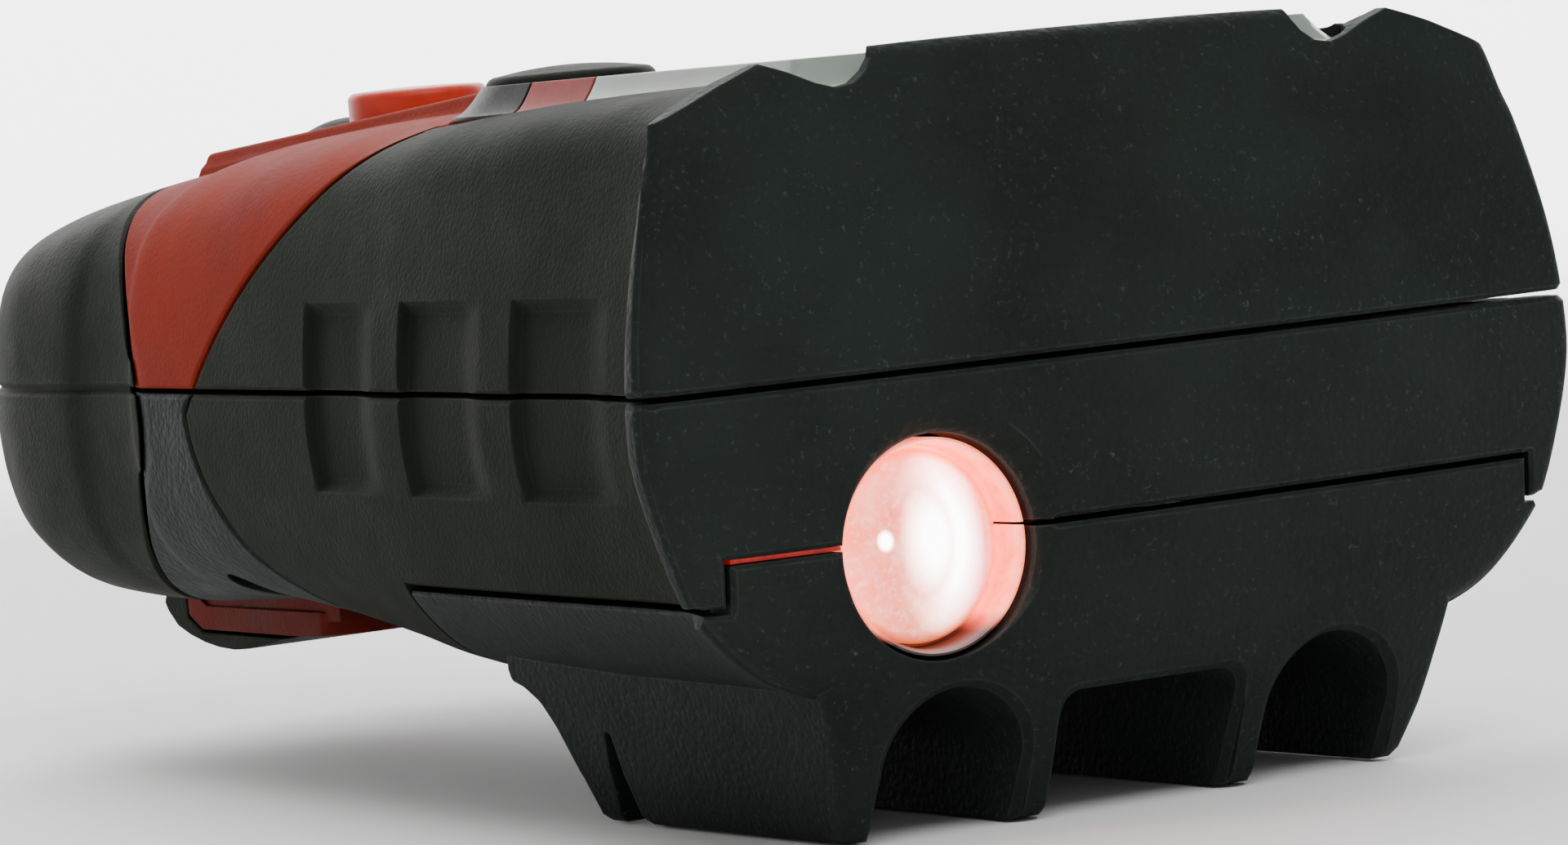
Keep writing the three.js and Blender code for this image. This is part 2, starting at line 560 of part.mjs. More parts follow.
function triggerBoard() {
  const { half, y0, y1, z0, z1, notchX, notchEnd } = TRIGGER_BOARD;
  const notch = (x) => box(x - 2.5, x + 2.5, y0 - 1, notchEnd, z0 - 4, z1 + 4);
  const notches = bothSides((side) => notch(side * notchX));
  return box(-half, half, y0, y1, z0, z1).subtract(notches);
}

function triggerSwitch() {
  return box(-3, 3, 98.8, 104.6, 18.3, 23.9).add(box(-1, 1, 100, 102, 17.9, 20));
}

// --- the object -----------------------------------------------------------------------------

const gun = new THREE.Group();
gun.position.y = -LENGTH / 2;

function add(name, colour, part) {
  const { vertProperties, triVerts } = part.getMesh();
  const geometry = new THREE.BufferGeometry();
  geometry.setAttribute('position', new THREE.Float32BufferAttribute(vertProperties, 3));
  geometry.setIndex(new THREE.BufferAttribute(new Uint32Array(triVerts), 1));
  geometry.computeVertexNormals();
  const [color, roughness] = COLOURS[colour];
  const metalness = colour === 'metal' ? 1 : 0;
  const mesh = new THREE.Mesh(geometry, new THREE.MeshStandardMaterial({ color, roughness, metalness }));
  mesh.name = name;
  gun.add(mesh);
}

add('nose_cap', 'nose_plastic', noseCap());
add('upper_housing', 'red_plastic', upperHousing());
add('lower_housing', 'nose_plastic', lowerHousing());
add('base_cover', 'nose_plastic', baseCover());
add('left_grip_upper', 'grip_rubber', grip(-1, true));
add('right_grip_upper', 'grip_rubber', grip(1, true));
add('left_grip_lower', 'grip_rubber', grip(-1, false));
add('right_grip_lower', 'grip_rubber', grip(1, false));
add('rear_bumper', 'grip_rubber', rearBumper());
add('battery_door', 'nose_plastic', batteryDoor());

add('display_window', 'window', displayPlate.intersect(infrontOf(DISPLAY.glassEnd)));
add('display_stripe', 'stripe', displayPlate.intersect(behind(DISPLAY.glassEnd + GAP))
  .intersect(infrontOf(DISPLAY.stripeEnd)));
add('display_bezel', 'key_black', displayPlate.intersect(behind(DISPLAY.stripeEnd + GAP)));
add('display_module', 'dark_part', displayModule());
add('display_holder', 'dark_part', displayHolder());

add('menu_key', 'key_black', key(KEYS.menu));
add('measure_key', 'key_red', key(KEYS.measure));
add('mode_key', 'key_black', key(KEYS.mode));
add('menu_switch', 'dark_part', keySwitch(KEYS.menu));
add('measure_switch', 'dark_part', keySwitch(KEYS.measure));
add('mode_switch', 'dark_part', keySwitch(KEYS.mode));
add('main_board', 'board', box(-BOARD.half, BOARD.half, BOARD.y0, BOARD.y1, BOARD.z0, BOARD.z1));
add('buzzer', 'dark_part', cylinder('z', 0, 64, 30.8, BOARD.z0 - GAP, 6, 24));

add('trigger', 'red_plastic', triggerLever());
add('trigger_pad', 'grip_rubber', sidePrism(TRIGGER_PAD, -TRIGGER.half, TRIGGER.half));
add('trigger_pin', 'metal', pinHole(TRIGGER.pinHalf, TRIGGER.pin - 0.02));
add('trigger_spring', 'metal', triggerSpring());
add('trigger_switch', 'dark_part', triggerSwitch());
add('trigger_board', 'board', triggerBoard());

add('front_lens', 'lens_glass', frontLens());
add('lens_sleeve_upper', 'sleeve', sleeve(true));
add('lens_sleeve_lower', 'sleeve', sleeve(false));
add('lens_barrel', 'dark_part', lensBarrel());
add('emitter', 'led', cylinder('y', LENS.x, LENS.z, 21, 28.6, 2.5, 20));
add('photodiode', 'dark_part', box(LENS.x + 3.2, LENS.x + 5.2, 26, 28.6, LENS.z - 1, LENS.z + 1));
add('emitter_board', 'board', box(LENS.x - 7, LENS.x + 7, 28.9, 30.4, 19.2, 30));

add('left_cell', 'cell', cell(-1));
add('right_cell', 'cell', cell(1));
add('front_battery_contact', 'metal', contact(CELL.y0 - 0.9));
add('rear_battery_contact', 'metal', contact(CELL.y1 + 0.4));

add('left_housing_screw', 'metal', screw(-1, REAR_SCREW));
add('right_housing_screw', 'metal', screw(1, REAR_SCREW));
add('left_cover_screw', 'metal', screw(-1, COVER_SCREW));
add('right_cover_screw', 'metal', screw(1, COVER_SCREW));

export default gun;
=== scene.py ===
"""Looks of the hand-held optical speed gun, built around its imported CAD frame.

Shapes are drawn in millimetres, with X across, Y back from the tip of the nose and Z up from the foot,
and go into the part's frame when a piece is finished.
"""
import json
import math

import bmesh
import bpy
import numpy as np
from mathutils import Matrix, Vector
from mathutils.bvhtree import BVHTree

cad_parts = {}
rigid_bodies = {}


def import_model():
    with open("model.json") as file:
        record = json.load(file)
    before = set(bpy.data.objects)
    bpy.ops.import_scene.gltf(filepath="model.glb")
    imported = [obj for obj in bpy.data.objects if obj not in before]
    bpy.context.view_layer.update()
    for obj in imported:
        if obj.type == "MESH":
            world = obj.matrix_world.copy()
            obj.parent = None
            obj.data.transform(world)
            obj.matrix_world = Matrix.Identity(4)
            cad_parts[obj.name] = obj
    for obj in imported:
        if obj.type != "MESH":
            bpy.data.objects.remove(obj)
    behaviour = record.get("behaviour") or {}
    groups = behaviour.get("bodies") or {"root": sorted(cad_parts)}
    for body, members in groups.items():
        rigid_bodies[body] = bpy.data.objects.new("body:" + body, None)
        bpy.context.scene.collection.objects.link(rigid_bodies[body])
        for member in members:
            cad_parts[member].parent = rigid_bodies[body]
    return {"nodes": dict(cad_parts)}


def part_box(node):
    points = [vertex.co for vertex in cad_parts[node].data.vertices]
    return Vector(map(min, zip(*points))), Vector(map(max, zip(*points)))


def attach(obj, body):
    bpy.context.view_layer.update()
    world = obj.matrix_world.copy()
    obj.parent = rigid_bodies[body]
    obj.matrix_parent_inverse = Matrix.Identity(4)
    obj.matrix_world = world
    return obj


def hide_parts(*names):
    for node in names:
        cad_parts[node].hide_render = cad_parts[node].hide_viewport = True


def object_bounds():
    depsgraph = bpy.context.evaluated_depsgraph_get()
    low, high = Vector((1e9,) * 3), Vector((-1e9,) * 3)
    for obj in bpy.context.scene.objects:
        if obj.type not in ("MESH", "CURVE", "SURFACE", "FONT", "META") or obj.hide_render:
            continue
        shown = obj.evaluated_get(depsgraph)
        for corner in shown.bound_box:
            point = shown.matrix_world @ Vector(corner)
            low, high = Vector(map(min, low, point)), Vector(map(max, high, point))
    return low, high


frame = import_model()
CAD_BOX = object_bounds()
MM = 0.001


def node_box(name):
    """A CAD node's lowest and highest corners, in millimetres, with Y from the tip of the nose."""
    low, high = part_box(name)
    front = CAD_BOX[0][1]
    return [[p[0] / MM, (p[1] - front) / MM, p[2] / MM] for p in (low, high)]


# ---------------------------------------------------------------- driving dimensions

LENGTH = (CAD_BOX[1][1] - CAD_BOX[0][1]) / MM
UPPER_SEAM = (node_box("nose_cap")[0][2] + node_box("lower_housing")[1][2]) / 2
SEAM_HALF_GAP = 0.2
FRONT_SEAM = node_box("base_cover")[1][2] + SEAM_HALF_GAP
LOWER_SEAM = 16.2
NOSE_END = node_box("nose_cap")[1][1]
COVER_END = node_box("base_cover")[1][1] + SEAM_HALF_GAP
TAB_HALF = 31.2
TAB_BACK = 5.2
MIDDLE_Z = 27.2
GAP = 0.3
WALL = 3.0
GRIP_DEPTH = 1.5
GRIP_NEAR = 21.0
BUMPER_DEPTH = 2.0
BUMPER_WALL = 2.2
FAR = 90.0
EDGE_RADIUS = 1.1
TAIL_RADIUS = 2.0
SCOOP_DEPTH = 0.8
SCOOP_LOW = 41.6
ARC_Y = 85.6
ARC_RADIUS = 27.6
LENS_LOW, LENS_HIGH = node_box("front_lens")
LENS_X = (LENS_LOW[0] + LENS_HIGH[0]) / 2
LENS_Z = (LENS_LOW[2] + LENS_HIGH[2]) / 2
LENS_HOLE = 7.2

# ---------------------------------------------------------------- the body's outer form

# Along the body: [y, half width, top, bottom, roundness of the section]
STATIONS = [
    [-0.5, 34.4, 50.1, 9.9, 0], [1.6, 35.9, 50.4, 9.6, 0], [3, 36.3, 50.4, 9.4, 0],
    [4.6, 36.1, 50.2, 9.3, 0], [6.2, 34.6, 49.3, 9.2, 0], [8, 34.1, 48.9, 9.2, 0],
    [28, 32.5, 48.8, 9, 0.1], [45, 31, 48.7, 8.9, 0.35], [53, 30.2, 48.6, 9.3, 0.5],
    [60, 29.5, 48.6, 10.2, 0.6], [76, 28.1, 48.3, 11.9, 0.8], [90, 26.8, 47.7, 12.6, 1],
    [95, 26.3, 47.2, 12.5, 1], [97, 25.5, 46.9, 12.3, 1], [106, 24.9, 45.9, 11.9, 1],
    [109, 25.2, 45.6, 11.8, 1], [118, 24.8, 44.6, 12.1, 1], [125, 23.3, 43.7, 13.5, 1],
    [130.5, 20.8, 42.9, 15.7, 1], [135, 17, 41.7, 18.5, 1], [138, 12.2, 40, 21.5, 1],
]
# Half sections from the top centre to the widest line, then from there to the bottom centre,
# as shares of the half width and of the height above or below the widest line
SQUARE_UPPER = [[0.4, 1], [0.66, 0.994], [0.81, 0.965], [0.893, 0.885], [0.92, 0.72], [0.955, 0.51],
                [0.983, 0.31], [0.996, 0.136], [1, 0]]
ROUND_UPPER = [[0.4, 0.975], [0.62, 0.925], [0.77, 0.85], [0.87, 0.75], [0.93, 0.63], [0.965, 0.48],
               [0.985, 0.31], [0.996, 0.14], [1, 0]]
SQUARE_LOWER = [[0.995, 0.12], [0.972, 0.303], [0.922, 0.606], [0.882, 0.712], [0.808, 0.862],
                [0.725, 0.952], [0.62, 1], [0.3, 1]]
ROUND_LOWER = [[0.997, 0.14], [0.985, 0.33], [0.95, 0.56], [0.895, 0.71], [0.8, 0.85], [0.67, 0.94],
               [0.5, 0.988], [0.25, 1]]
TABLE_STEP = 0.25


def smooth_curve(xs, ys, at):
    """A smooth curve through the points that doesn't overshoot them."""
    xs = np.array(xs, float)
    ys = np.array(ys, float)
    width = np.diff(xs)
    slope = np.diff(ys) / width
    tangent = np.zeros_like(ys)
    tangent[0] = slope[0]
    tangent[-1] = slope[-1]
    for i in range(1, len(xs) - 1):
        if slope[i - 1] * slope[i] > 0:
            left = 2 * width[i] + width[i - 1]
            right = width[i] + 2 * width[i - 1]
            tangent[i] = (left + right) / (left / slope[i - 1] + right / slope[i])
    k = np.clip(np.searchsorted(xs, at) - 1, 0, len(width) - 1)
    t = (at - xs[k]) / width[k]
    start = (1 + 2 * t) * (1 - t) ** 2 * ys[k] + t * (1 - t) ** 2 * width[k] * tangent[k]
    end = t * t * (3 - 2 * t) * ys[k + 1] + t * t * (t - 1) * width[k] * tangent[k + 1]
    return start + end


def section_table(depth, rounds):
    """Outline points [x, z] of the section at each step along the body, with its corners rounded off."""
    grid = np.arange(STATIONS[0][0], LENGTH + TABLE_STEP / 2, TABLE_STEP)
    stations = np.array(STATIONS)
    half, top, bottom, roundness = [smooth_curve(stations[:, 0], stations[:, i], grid) for i in range(1, 5)]
    width = half - depth
    up = top - depth - MIDDLE_Z
    down = MIDDLE_Z - bottom - depth
    square_upper = np.array(SQUARE_UPPER, float)
    round_upper = np.array(ROUND_UPPER, float)
    square_lower, round_lower = np.array(SQUARE_LOWER, float), np.array(ROUND_LOWER, float)
    right = []
    for i in range(len(grid)):
        r = roundness[i]
        upper = square_upper + (round_upper - square_upper) * r
        lower = square_lower + (round_lower - square_lower) * r
        points = [[0, MIDDLE_Z + up[i]]]
        points += [[u * width[i], MIDDLE_Z + v * up[i]] for u, v in upper]
        points += [[u * width[i], MIDDLE_Z - v * down[i]] for u, v in lower]
        points.append([0, MIDDLE_Z - down[i]])
        points += [[-x, z] for x, z in points[-2:0:-1]]
        right.append(points)
    outline = np.array(right)
    for _ in range(rounds):
        after = np.roll(outline, -1, axis=1)
        first = 0.75 * outline + 0.25 * after
        second = 0.25 * outline + 0.75 * after
        outline = np.stack([first, second], axis=2).reshape(len(grid), -1, 2)
    return grid, outline


class Form:
    """The body's outer form, or the same form some depth under its surface."""

    def __init__(self, rounds):
        self.grid, self.at_surface = section_table(0.0, rounds)
        self.deeper = section_table(1.0, rounds)[1] - self.at_surface

    def ring(self, y, depth):
        """The outline at y, which is one value or one for each point, that depth under the surface."""
        count = self.at_surface.shape[1]
        y = np.broadcast_to(y, (count,)).astype(float)
        place = np.clip((y - self.grid[0]) / TABLE_STEP, 0, len(self.grid) - 1.001)
        k = place.astype(int)
        t = (place - k)[:, None]
        j = np.arange(count)
        outline = self.at_surface + depth * self.deeper
        xz = outline[k, j] * (1 - t) + outline[k + 1, j] * t
        return np.column_stack([xz[:, 0], y, xz[:, 1]])


FINE = Form(3)
COARSE = Form(2)


def nose_face(x, z):
    """How far back the convex front face is at x, z."""
    chin = 0.01 * np.maximum(0, 12 - z) ** 2
    return 1.9 * (x / 35) ** 2 + 2.2 * ((z - MIDDLE_Z) / 20) ** 2 + chin


def soft_step(t):
    t = np.clip(t, 0, 1)
    return t * t * (3 - 2 * t)


def visor_scoop(x, z):
    """The shallow scoop across the top of the front face, under the display's visor."""
    middle = 1 - soft_step((np.abs(x) - 20) / 8)
    return SCOOP_DEPTH * soft_step((z - SCOOP_LOW) / 2.2) * (0.35 + 0.65 * middle)


# ---------------------------------------------------------------- solids in millimetres

def mesh_object(name, points, faces):
    mesh = bpy.data.meshes.new(name)
    mesh.from_pydata([tuple(p) for p in points], [], faces)
    obj = bpy.data.objects.new(name, mesh)
    bpy.context.scene.collection.objects.link(obj)
    return obj


def outward(obj):
    """Turns all faces of a closed shape outwards."""
    shape = bmesh.new()
    shape.from_mesh(obj.data)
    bmesh.ops.recalc_face_normals(shape, faces=shape.faces)
    shape.to_mesh(obj.data)
    shape.free()
    return obj


def loft(name, rings):
    """A closed solid through rings that all have the same number of points."""
    count = len(rings[0])
    points = np.concatenate(rings)
    faces = []
    for i in range(len(rings) - 1):
        for j in range(count):
            k = (j + 1) % count
            faces.append((i * count + j, i * count + k, (i + 1) * count + k, (i + 1) * count + j))
    last = (len(rings) - 1) * count
    for start in (0, last):
        centre = len(points)
        points = np.vstack([points, points[start:start + count].mean(0)])
        faces += [(start + j, start + (j + 1) % count, centre) for j in range(count)]
    return outward(mesh_object(name, points, faces))


def grid_solid(name, front, back):
    """A closed solid between two grids of points of the same size."""
    rows, columns = front.shape[:2]
    points = np.concatenate([front.reshape(-1, 3), back.reshape(-1, 3)])
    shift = rows * columns
    faces = []
    for i in range(rows - 1):
        for j in range(columns - 1):
            a = i * columns + j
            quad = (a, a + 1, a + columns + 1, a + columns)
            faces.append(quad)
            faces.append(tuple(q + shift for q in reversed(quad)))
    rim = [(0, j) for j in range(columns)] + [(i, columns - 1) for i in range(1, rows)]
    rim += [(rows - 1, j) for j in range(columns - 2, -1, -1)] + [(i, 0) for i in range(rows - 2, 0, -1)]
    edge = [i * columns + j for i, j in rim]
    for a, b in zip(edge, edge[1:] + edge[:1]):
        faces.append((b, a, a + shift, b + shift))
    return outward(mesh_object(name, points, faces))


def box(x0, x1, y0, y1, z0, z1):
    points = [(x, y, z) for x in (x0, x1) for y in (y0, y1) for z in (z0, z1)]
    faces = [(0, 1, 3, 2), (4, 6, 7, 5), (0, 4, 5, 1), (2, 3, 7, 6), (0, 2, 6, 4), (1, 5, 7, 3)]
    return outward(mesh_object("box", points, faces))


def prism(outline, axis, start, end):
    """A prism of an outline: [y, z] points along 'x', [x, z] along 'y' or [x, y] along 'z'."""
    def placed(point, depth):
        coordinates = list(point)
        coordinates.insert("xyz".index(axis), depth)
        return coordinates
    rings = [[placed(p, depth) for p in outline] for depth in (start, end)]
    count = len(outline)
    faces = [tuple(range(count)), tuple(range(2 * count - 1, count - 1, -1))]
    faces += [(j, count + j, count + (j + 1) % count, (j + 1) % count) for j in range(count)]
    return outward(mesh_object("prism", rings[0] + rings[1], faces))


def circle(p, q, radius, sides=64):
    turns = [2 * math.pi * i / sides for i in range(sides)]
    return [(p + radius * math.cos(t), q + radius * math.sin(t)) for t in turns]


def cylinder(axis, p, q, start, end, radius, sides=64):
    return prism(circle(p, q, radius, sides), axis, start, end)


def turned(profile, centre, axis, sides=96):
    """A turned solid: profile is [radius, height] points from the axis round to the axis."""
    rings = []
    for radius, height in profile:
        around = circle(0, 0, max(radius, 1e-4), sides)
        if axis == "z":
            rings.append([(centre[0] + a, centre[1] + b, height) for a, b in around])
        else:
            rings.append([(centre[0] + a, height, centre[1] + b) for a, b in around])
    return loft("turned", [np.array(r) for r in rings])


def with_modifier(obj, modifier):
    """The object as the modifier leaves it, as a new object. The modifier is taken off again."""
    graph = bpy.context.evaluated_depsgraph_get()
    mesh = bpy.data.meshes.new_from_object(obj.evaluated_get(graph))
    obj.modifiers.remove(modifier)
    result = bpy.data.objects.new("solid", mesh)
    bpy.context.scene.collection.objects.link(result)
    return result


def combine(base, other, operation):
    """The result of a solid operation, as a new object. Both inputs stay as they are."""
    modifier = base.modifiers.new("combine", "BOOLEAN")
    modifier.operation = operation
    modifier.solver = "MANIFOLD"
    modifier.object = other
    return with_modifier(base, modifier)


def minus(base, *others):
    for other in others:
        base = combine(base, other, "DIFFERENCE")
    return base


def plus(base, *others):
    for other in others:
        base = combine(base, other, "UNION")
    return base


def common(base, *others):
    for other in others:
        base = combine(base, other, "INTERSECT")
    return base


def bevelled(obj, width, segments=3, angle=35):
    """The same solid with its sharp edges rounded."""
    modifier = obj.modifiers.new("round", "BEVEL")
    modifier.width = width
    modifier.segments = segments
    modifier.limit_method = "ANGLE"
    modifier.angle_limit = math.radians(angle)
    modifier.harden_normals = False
    return with_modifier(obj, modifier)


SMALLEST_ISLAND = 12  # a loose part with fewer faces is a sliver left by a cut


def without_slivers(mesh):
    """Removes the loose slivers that cuts leave beside a piece."""
    shape = bmesh.new()
    shape.from_mesh(mesh)
    seen = set()
    slivers = []
    for start in shape.faces:
        if start in seen:
            continue
        seen.add(start)
        island = [start]
        for face in island:
            for edge in face.edges:
                for other in edge.link_faces:
                    if other not in seen:
                        seen.add(other)
                        island.append(other)
        if len(island) < SMALLEST_ISLAND:
            slivers += island
    bmesh.ops.delete(shape, geom=slivers, context="FACES")
    shape.to_mesh(mesh)
    shape.free()


def finished(obj, name, body, *nodes, material, angle=32):
    """Moves a solid into the part's frame and lets it ride on its body in place of the CAD nodes."""
    into_part = Matrix.Translation((0, CAD_BOX[0][1], 0)) @ Matrix.Scale(MM, 4)
    mesh = obj.data.copy()
    without_slivers(mesh)
    mesh.transform(into_part)
    mesh.shade_smooth()
    mesh.set_sharp_from_angle(angle=math.radians(angle))
    mesh.materials.clear()
    mesh.materials.append(material)
    mesh.name = name
    piece = bpy.data.objects.new(name, mesh)
    bpy.context.scene.collection.objects.link(piece)
    weighted = piece.modifiers.new("weighted_normals", "WEIGHTED_NORMAL")
    weighted.keep_sharp = True
    KEPT.append(piece)
    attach(piece, body)
    if nodes:
        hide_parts(*nodes)
    return piece


KEPT = []
BEFORE = set(bpy.data.objects)


def clear_scratch():
    """Removes the solids that were only used to cut others."""
    for obj in list(bpy.data.objects):
        if obj.type == "MESH" and obj not in BEFORE and obj not in KEPT:
            mesh = obj.data
            bpy.data.objects.remove(obj)
            if mesh.users == 0:
                bpy.data.meshes.remove(mesh)


# ---------------------------------------------------------------- forms that the pieces are cut from

def ring_stations(step):
    """Places along the body for the rings, closer together where the sections change fast."""
    fine = [1.5, 1.9, 2.4, 3.0, 3.6, 4.1, 4.6, 5.0, 5.4, 5.8, 6.2, 6.6, 7.1, 7.7, 8.4, 9.4, 10.6]
    middle = list(np.arange(12.0, 93.0, step))
    neck = list(np.arange(93.4, 112, 0.7))
    tail = list(np.arange(113, LENGTH - TAIL_RADIUS - 0.3, 1.1))
    return fine + middle + neck + tail


def rounded_form():
    """The whole outer form with its convex front, the visor's scoop and rounded front and rear edges."""
    def on_face(ring, share, radius_left):
        x = ring[:, 0] * share
        z = MIDDLE_Z + (ring[:, 2] - MIDDLE_Z) * share
        return np.column_stack([x, nose_face(x, z) + visor_scoop(x, z) + radius_left, z])

    rings = []
    edge = FINE.ring(1.6, EDGE_RADIUS)
    for share in [0.03, 0.1, 0.18, 0.27, 0.36, 0.44, 0.52, 0.59, 0.65, 0.7, 0.74, 0.78, 0.82, 0.86, 0.9,
                  0.935, 0.97]:
        rings.append(on_face(edge, share, 0.0))
    for turn in np.radians([0, 15, 30, 45, 60, 75, 90]):
        ring = FINE.ring(1.6, EDGE_RADIUS * (1 - math.sin(turn)))
        rings.append(on_face(ring, 1.0, EDGE_RADIUS * (1 - math.cos(turn))))
    start = rings[-1][:, 1]
    stations = ring_stations(1.3)
    for station in stations[1:]:
        late = 1 - np.clip((station - stations[0]) / 9.0, 0, 1)
        rings.append(FINE.ring(station + (start - stations[0]) * late, 0.0))
    for turn in np.radians([0, 20, 40, 60, 75, 90]):
        depth = TAIL_RADIUS * (1 - math.cos(turn))
        rings.append(FINE.ring(LENGTH - TAIL_RADIUS * (1 - math.sin(turn)), depth))
    last = rings[-1]
    centre = last.mean(0)
    for share in (0.8, 0.55, 0.3, 0.1):
        rings.append(centre + (last - centre) * share)
    return loft("outer_form", rings)


def plain_form(depth, source=FINE, step=1.6, first=-0.5):
    """The outer form a constant depth under its surface, flat at both ends."""
    stations = [first] + [s for s in ring_stations(step) if s > first] + [LENGTH]
    return loft("inner_form", [source.ring(y, depth) for y in stations])


def cavity_form():
    """The room inside the housings."""
    stations = [12.4, 20, 28, 40, 50, 60, 70, 76, 84, 91, 95, 100, 106, 112, 118, 125, 130.5]
    rings = [COARSE.ring(4.4, WALL + 1.4)]
    for y in stations:
        side = BUMPER_DEPTH + GAP + 2 if y > 92 else WALL
        rings.append(COARSE.ring(y, side + 0.6))
    return loft("cavity", rings)


OUTER = rounded_form()
UNDER_GRIP = plain_form(GRIP_DEPTH)
UNDER_GRIP_GAP = plain_form(GRIP_DEPTH + GAP)
UNDER_BUMPER = plain_form(BUMPER_DEPTH)
UNDER_BUMPER_GAP = plain_form(BUMPER_DEPTH + GAP)
CAVITY = cavity_form()
SURFACE_POINTS = [v.co for v in OUTER.data.vertices]
SURFACE = BVHTree.FromPolygons(SURFACE_POINTS, [p.vertices for p in OUTER.data.polygons])


def hit(origin, direction):
    """Where a ray meets the outer form, and the outward direction there."""
    found = SURFACE.ray_cast(Vector(origin), Vector(direction).normalized())
    return (np.array(found[0]), np.array(found[1])) if found[0] is not None else None


def side_point(side, y, z):
    return hit((side * FAR, y, z), (-side, 0, 0))


def top_point(x, y, from_above=True):
    return hit((x, y, FAR if from_above else -FAR), (0, 0, -1 if from_above else 1))


def front_point(x, z):
    return hit((x, -FAR, z), (0, 1, 0))


# ---------------------------------------------------------------- chamfers along the seams

GROOVE_HALF = 0.5
GROOVE_DEPTH = 0.42


def groove(points, closed=False, half=GROOVE_HALF, depth=GROOVE_DEPTH):
    """A swept cutter that chamfers both edges of a seam; points are [place, outward direction] pairs."""
    kept = [points[0]]
    for p in points[1:]:
        if np.linalg.norm(p[0] - kept[-1][0]) > 0.35:
            kept.append(p)
    count = len(kept)
    rings = []
    for i, (place, out) in enumerate(kept):
        before = kept[(i - 1) % count] if closed or i > 0 else kept[i]
        after = kept[(i + 1) % count] if closed or i < count - 1 else kept[i]
        along = after[0] - before[0]
        along /= np.linalg.norm(along)
        out = out - along * out.dot(along)
        out /= np.linalg.norm(out)
        across = np.cross(along, out)
        rings.append(np.array([
            place - out * depth,
            place + across * half,
            place + across * half * 2 + out * 0.9,
            place - across * half * 2 + out * 0.9,
            place - across * half,
        ]))
    if closed:
        return closed_sweep(rings)
    return loft("groove", rings)


def closed_sweep(rings):
    count = len(rings[0])
    total = len(rings)
    faces = []
    for i in range(total):
        for j in range(count):
            k = (j + 1) % count
            n = (i + 1) % total
            faces.append((i * count + j, i * count + k, n * count + k, n * count + j))
    return outward(mesh_object("groove", np.concatenate(rings), faces))


def all_round(count, upright):
    """Unit directions all the way round, in an upright plane or a level one."""
    for i in range(count):
        turn = 2 * math.pi * i / count + math.pi / 2
        if upright:
            yield np.array([math.cos(turn), 0, math.sin(turn)])
        else:
            yield np.array([math.cos(turn), math.sin(turn), 0])


def level_loop(z, count=420):
    """The outline of the outer form at a height, starting at the tail."""
    centre = np.array([0, LENGTH / 2, z])
    return [hit(centre + way * 2 * FAR, -way) for way in all_round(count, upright=False)]


def across_loop(y, count=360):
    """The outline of the outer form's section at y, starting at the top."""
    centre = np.array([0, y, MIDDLE_Z])
    return [hit(centre + way * FAR, -way) for way in all_round(count, upright=True)]


def arc_loop(count=300):
    """Where the plan arc at the front of the rear bumper meets the outer form."""
    points = []
    for way in all_round(count, upright=True):
        low = ARC_Y
        high = ARC_Y + ARC_RADIUS
        found = None
        for _ in range(14):
            y = (low + high) / 2
            found = hit(np.array([0, y, MIDDLE_Z]) + way * FAR, -way)
            arc = ARC_Y + math.sqrt(max(ARC_RADIUS ** 2 - found[0][0] ** 2, 0))
            if y > arc:
                high = y
            else:
                low = y
        points.append(found)
    return points


def curve(a, b, c, count):
    """A quadratic curve from a to c that leans towards b."""
    t = np.linspace(0, 1, count)[:, None]
    a, b, c = np.array(a), np.array(b), np.array(c)
    return (1 - t) ** 2 * a + 2 * t * (1 - t) * b + t * t * c


GRIP_TOP = curve((35, 54), (71, 42), (84, UPPER_SEAM - 1.5), 40)
GRIP_FOOT = curve((84, UPPER_SEAM - 2), (82, 19), (70, 12), 24)
GRIP_EDGE = np.concatenate([GRIP_TOP, GRIP_FOOT])


def grip_region(side, grow):
    front = NOSE_END + GAP - grow
    edge = [(y + grow, z + grow * 0.4) for y, z in GRIP_EDGE]
    outline = [(front, 54)] + edge + [(58, 8), (front, 8)]
    near = (GRIP_NEAR - grow) * side
    return prism(outline, "x", *sorted((near, side * FAR)))


def grip_grooves():
    cutters = []
    for side in (-1, 1):
        edge = [side_point(side, y, z) for y, z in GRIP_EDGE]
        edge = [p for p in edge if p is not None and abs(p[0][0]) > GRIP_NEAR - 0.2]
        cutters.append(groove(edge))
        top_end = edge[0][0][1] + 1
        ridge = [top_point(side * (GRIP_NEAR - GAP / 2), y) for y in np.arange(NOSE_END, top_end, 1.5)]
        cutters.append(groove(ridge))
        foot_end = edge[-1][0][1] + 0.5
        along = np.arange(COVER_END, foot_end, 1.2)
        belly = [top_point(side * (GRIP_NEAR - GAP / 2), y, from_above=False) for y in along]
        cutters.append(groove(belly))
    return cutters


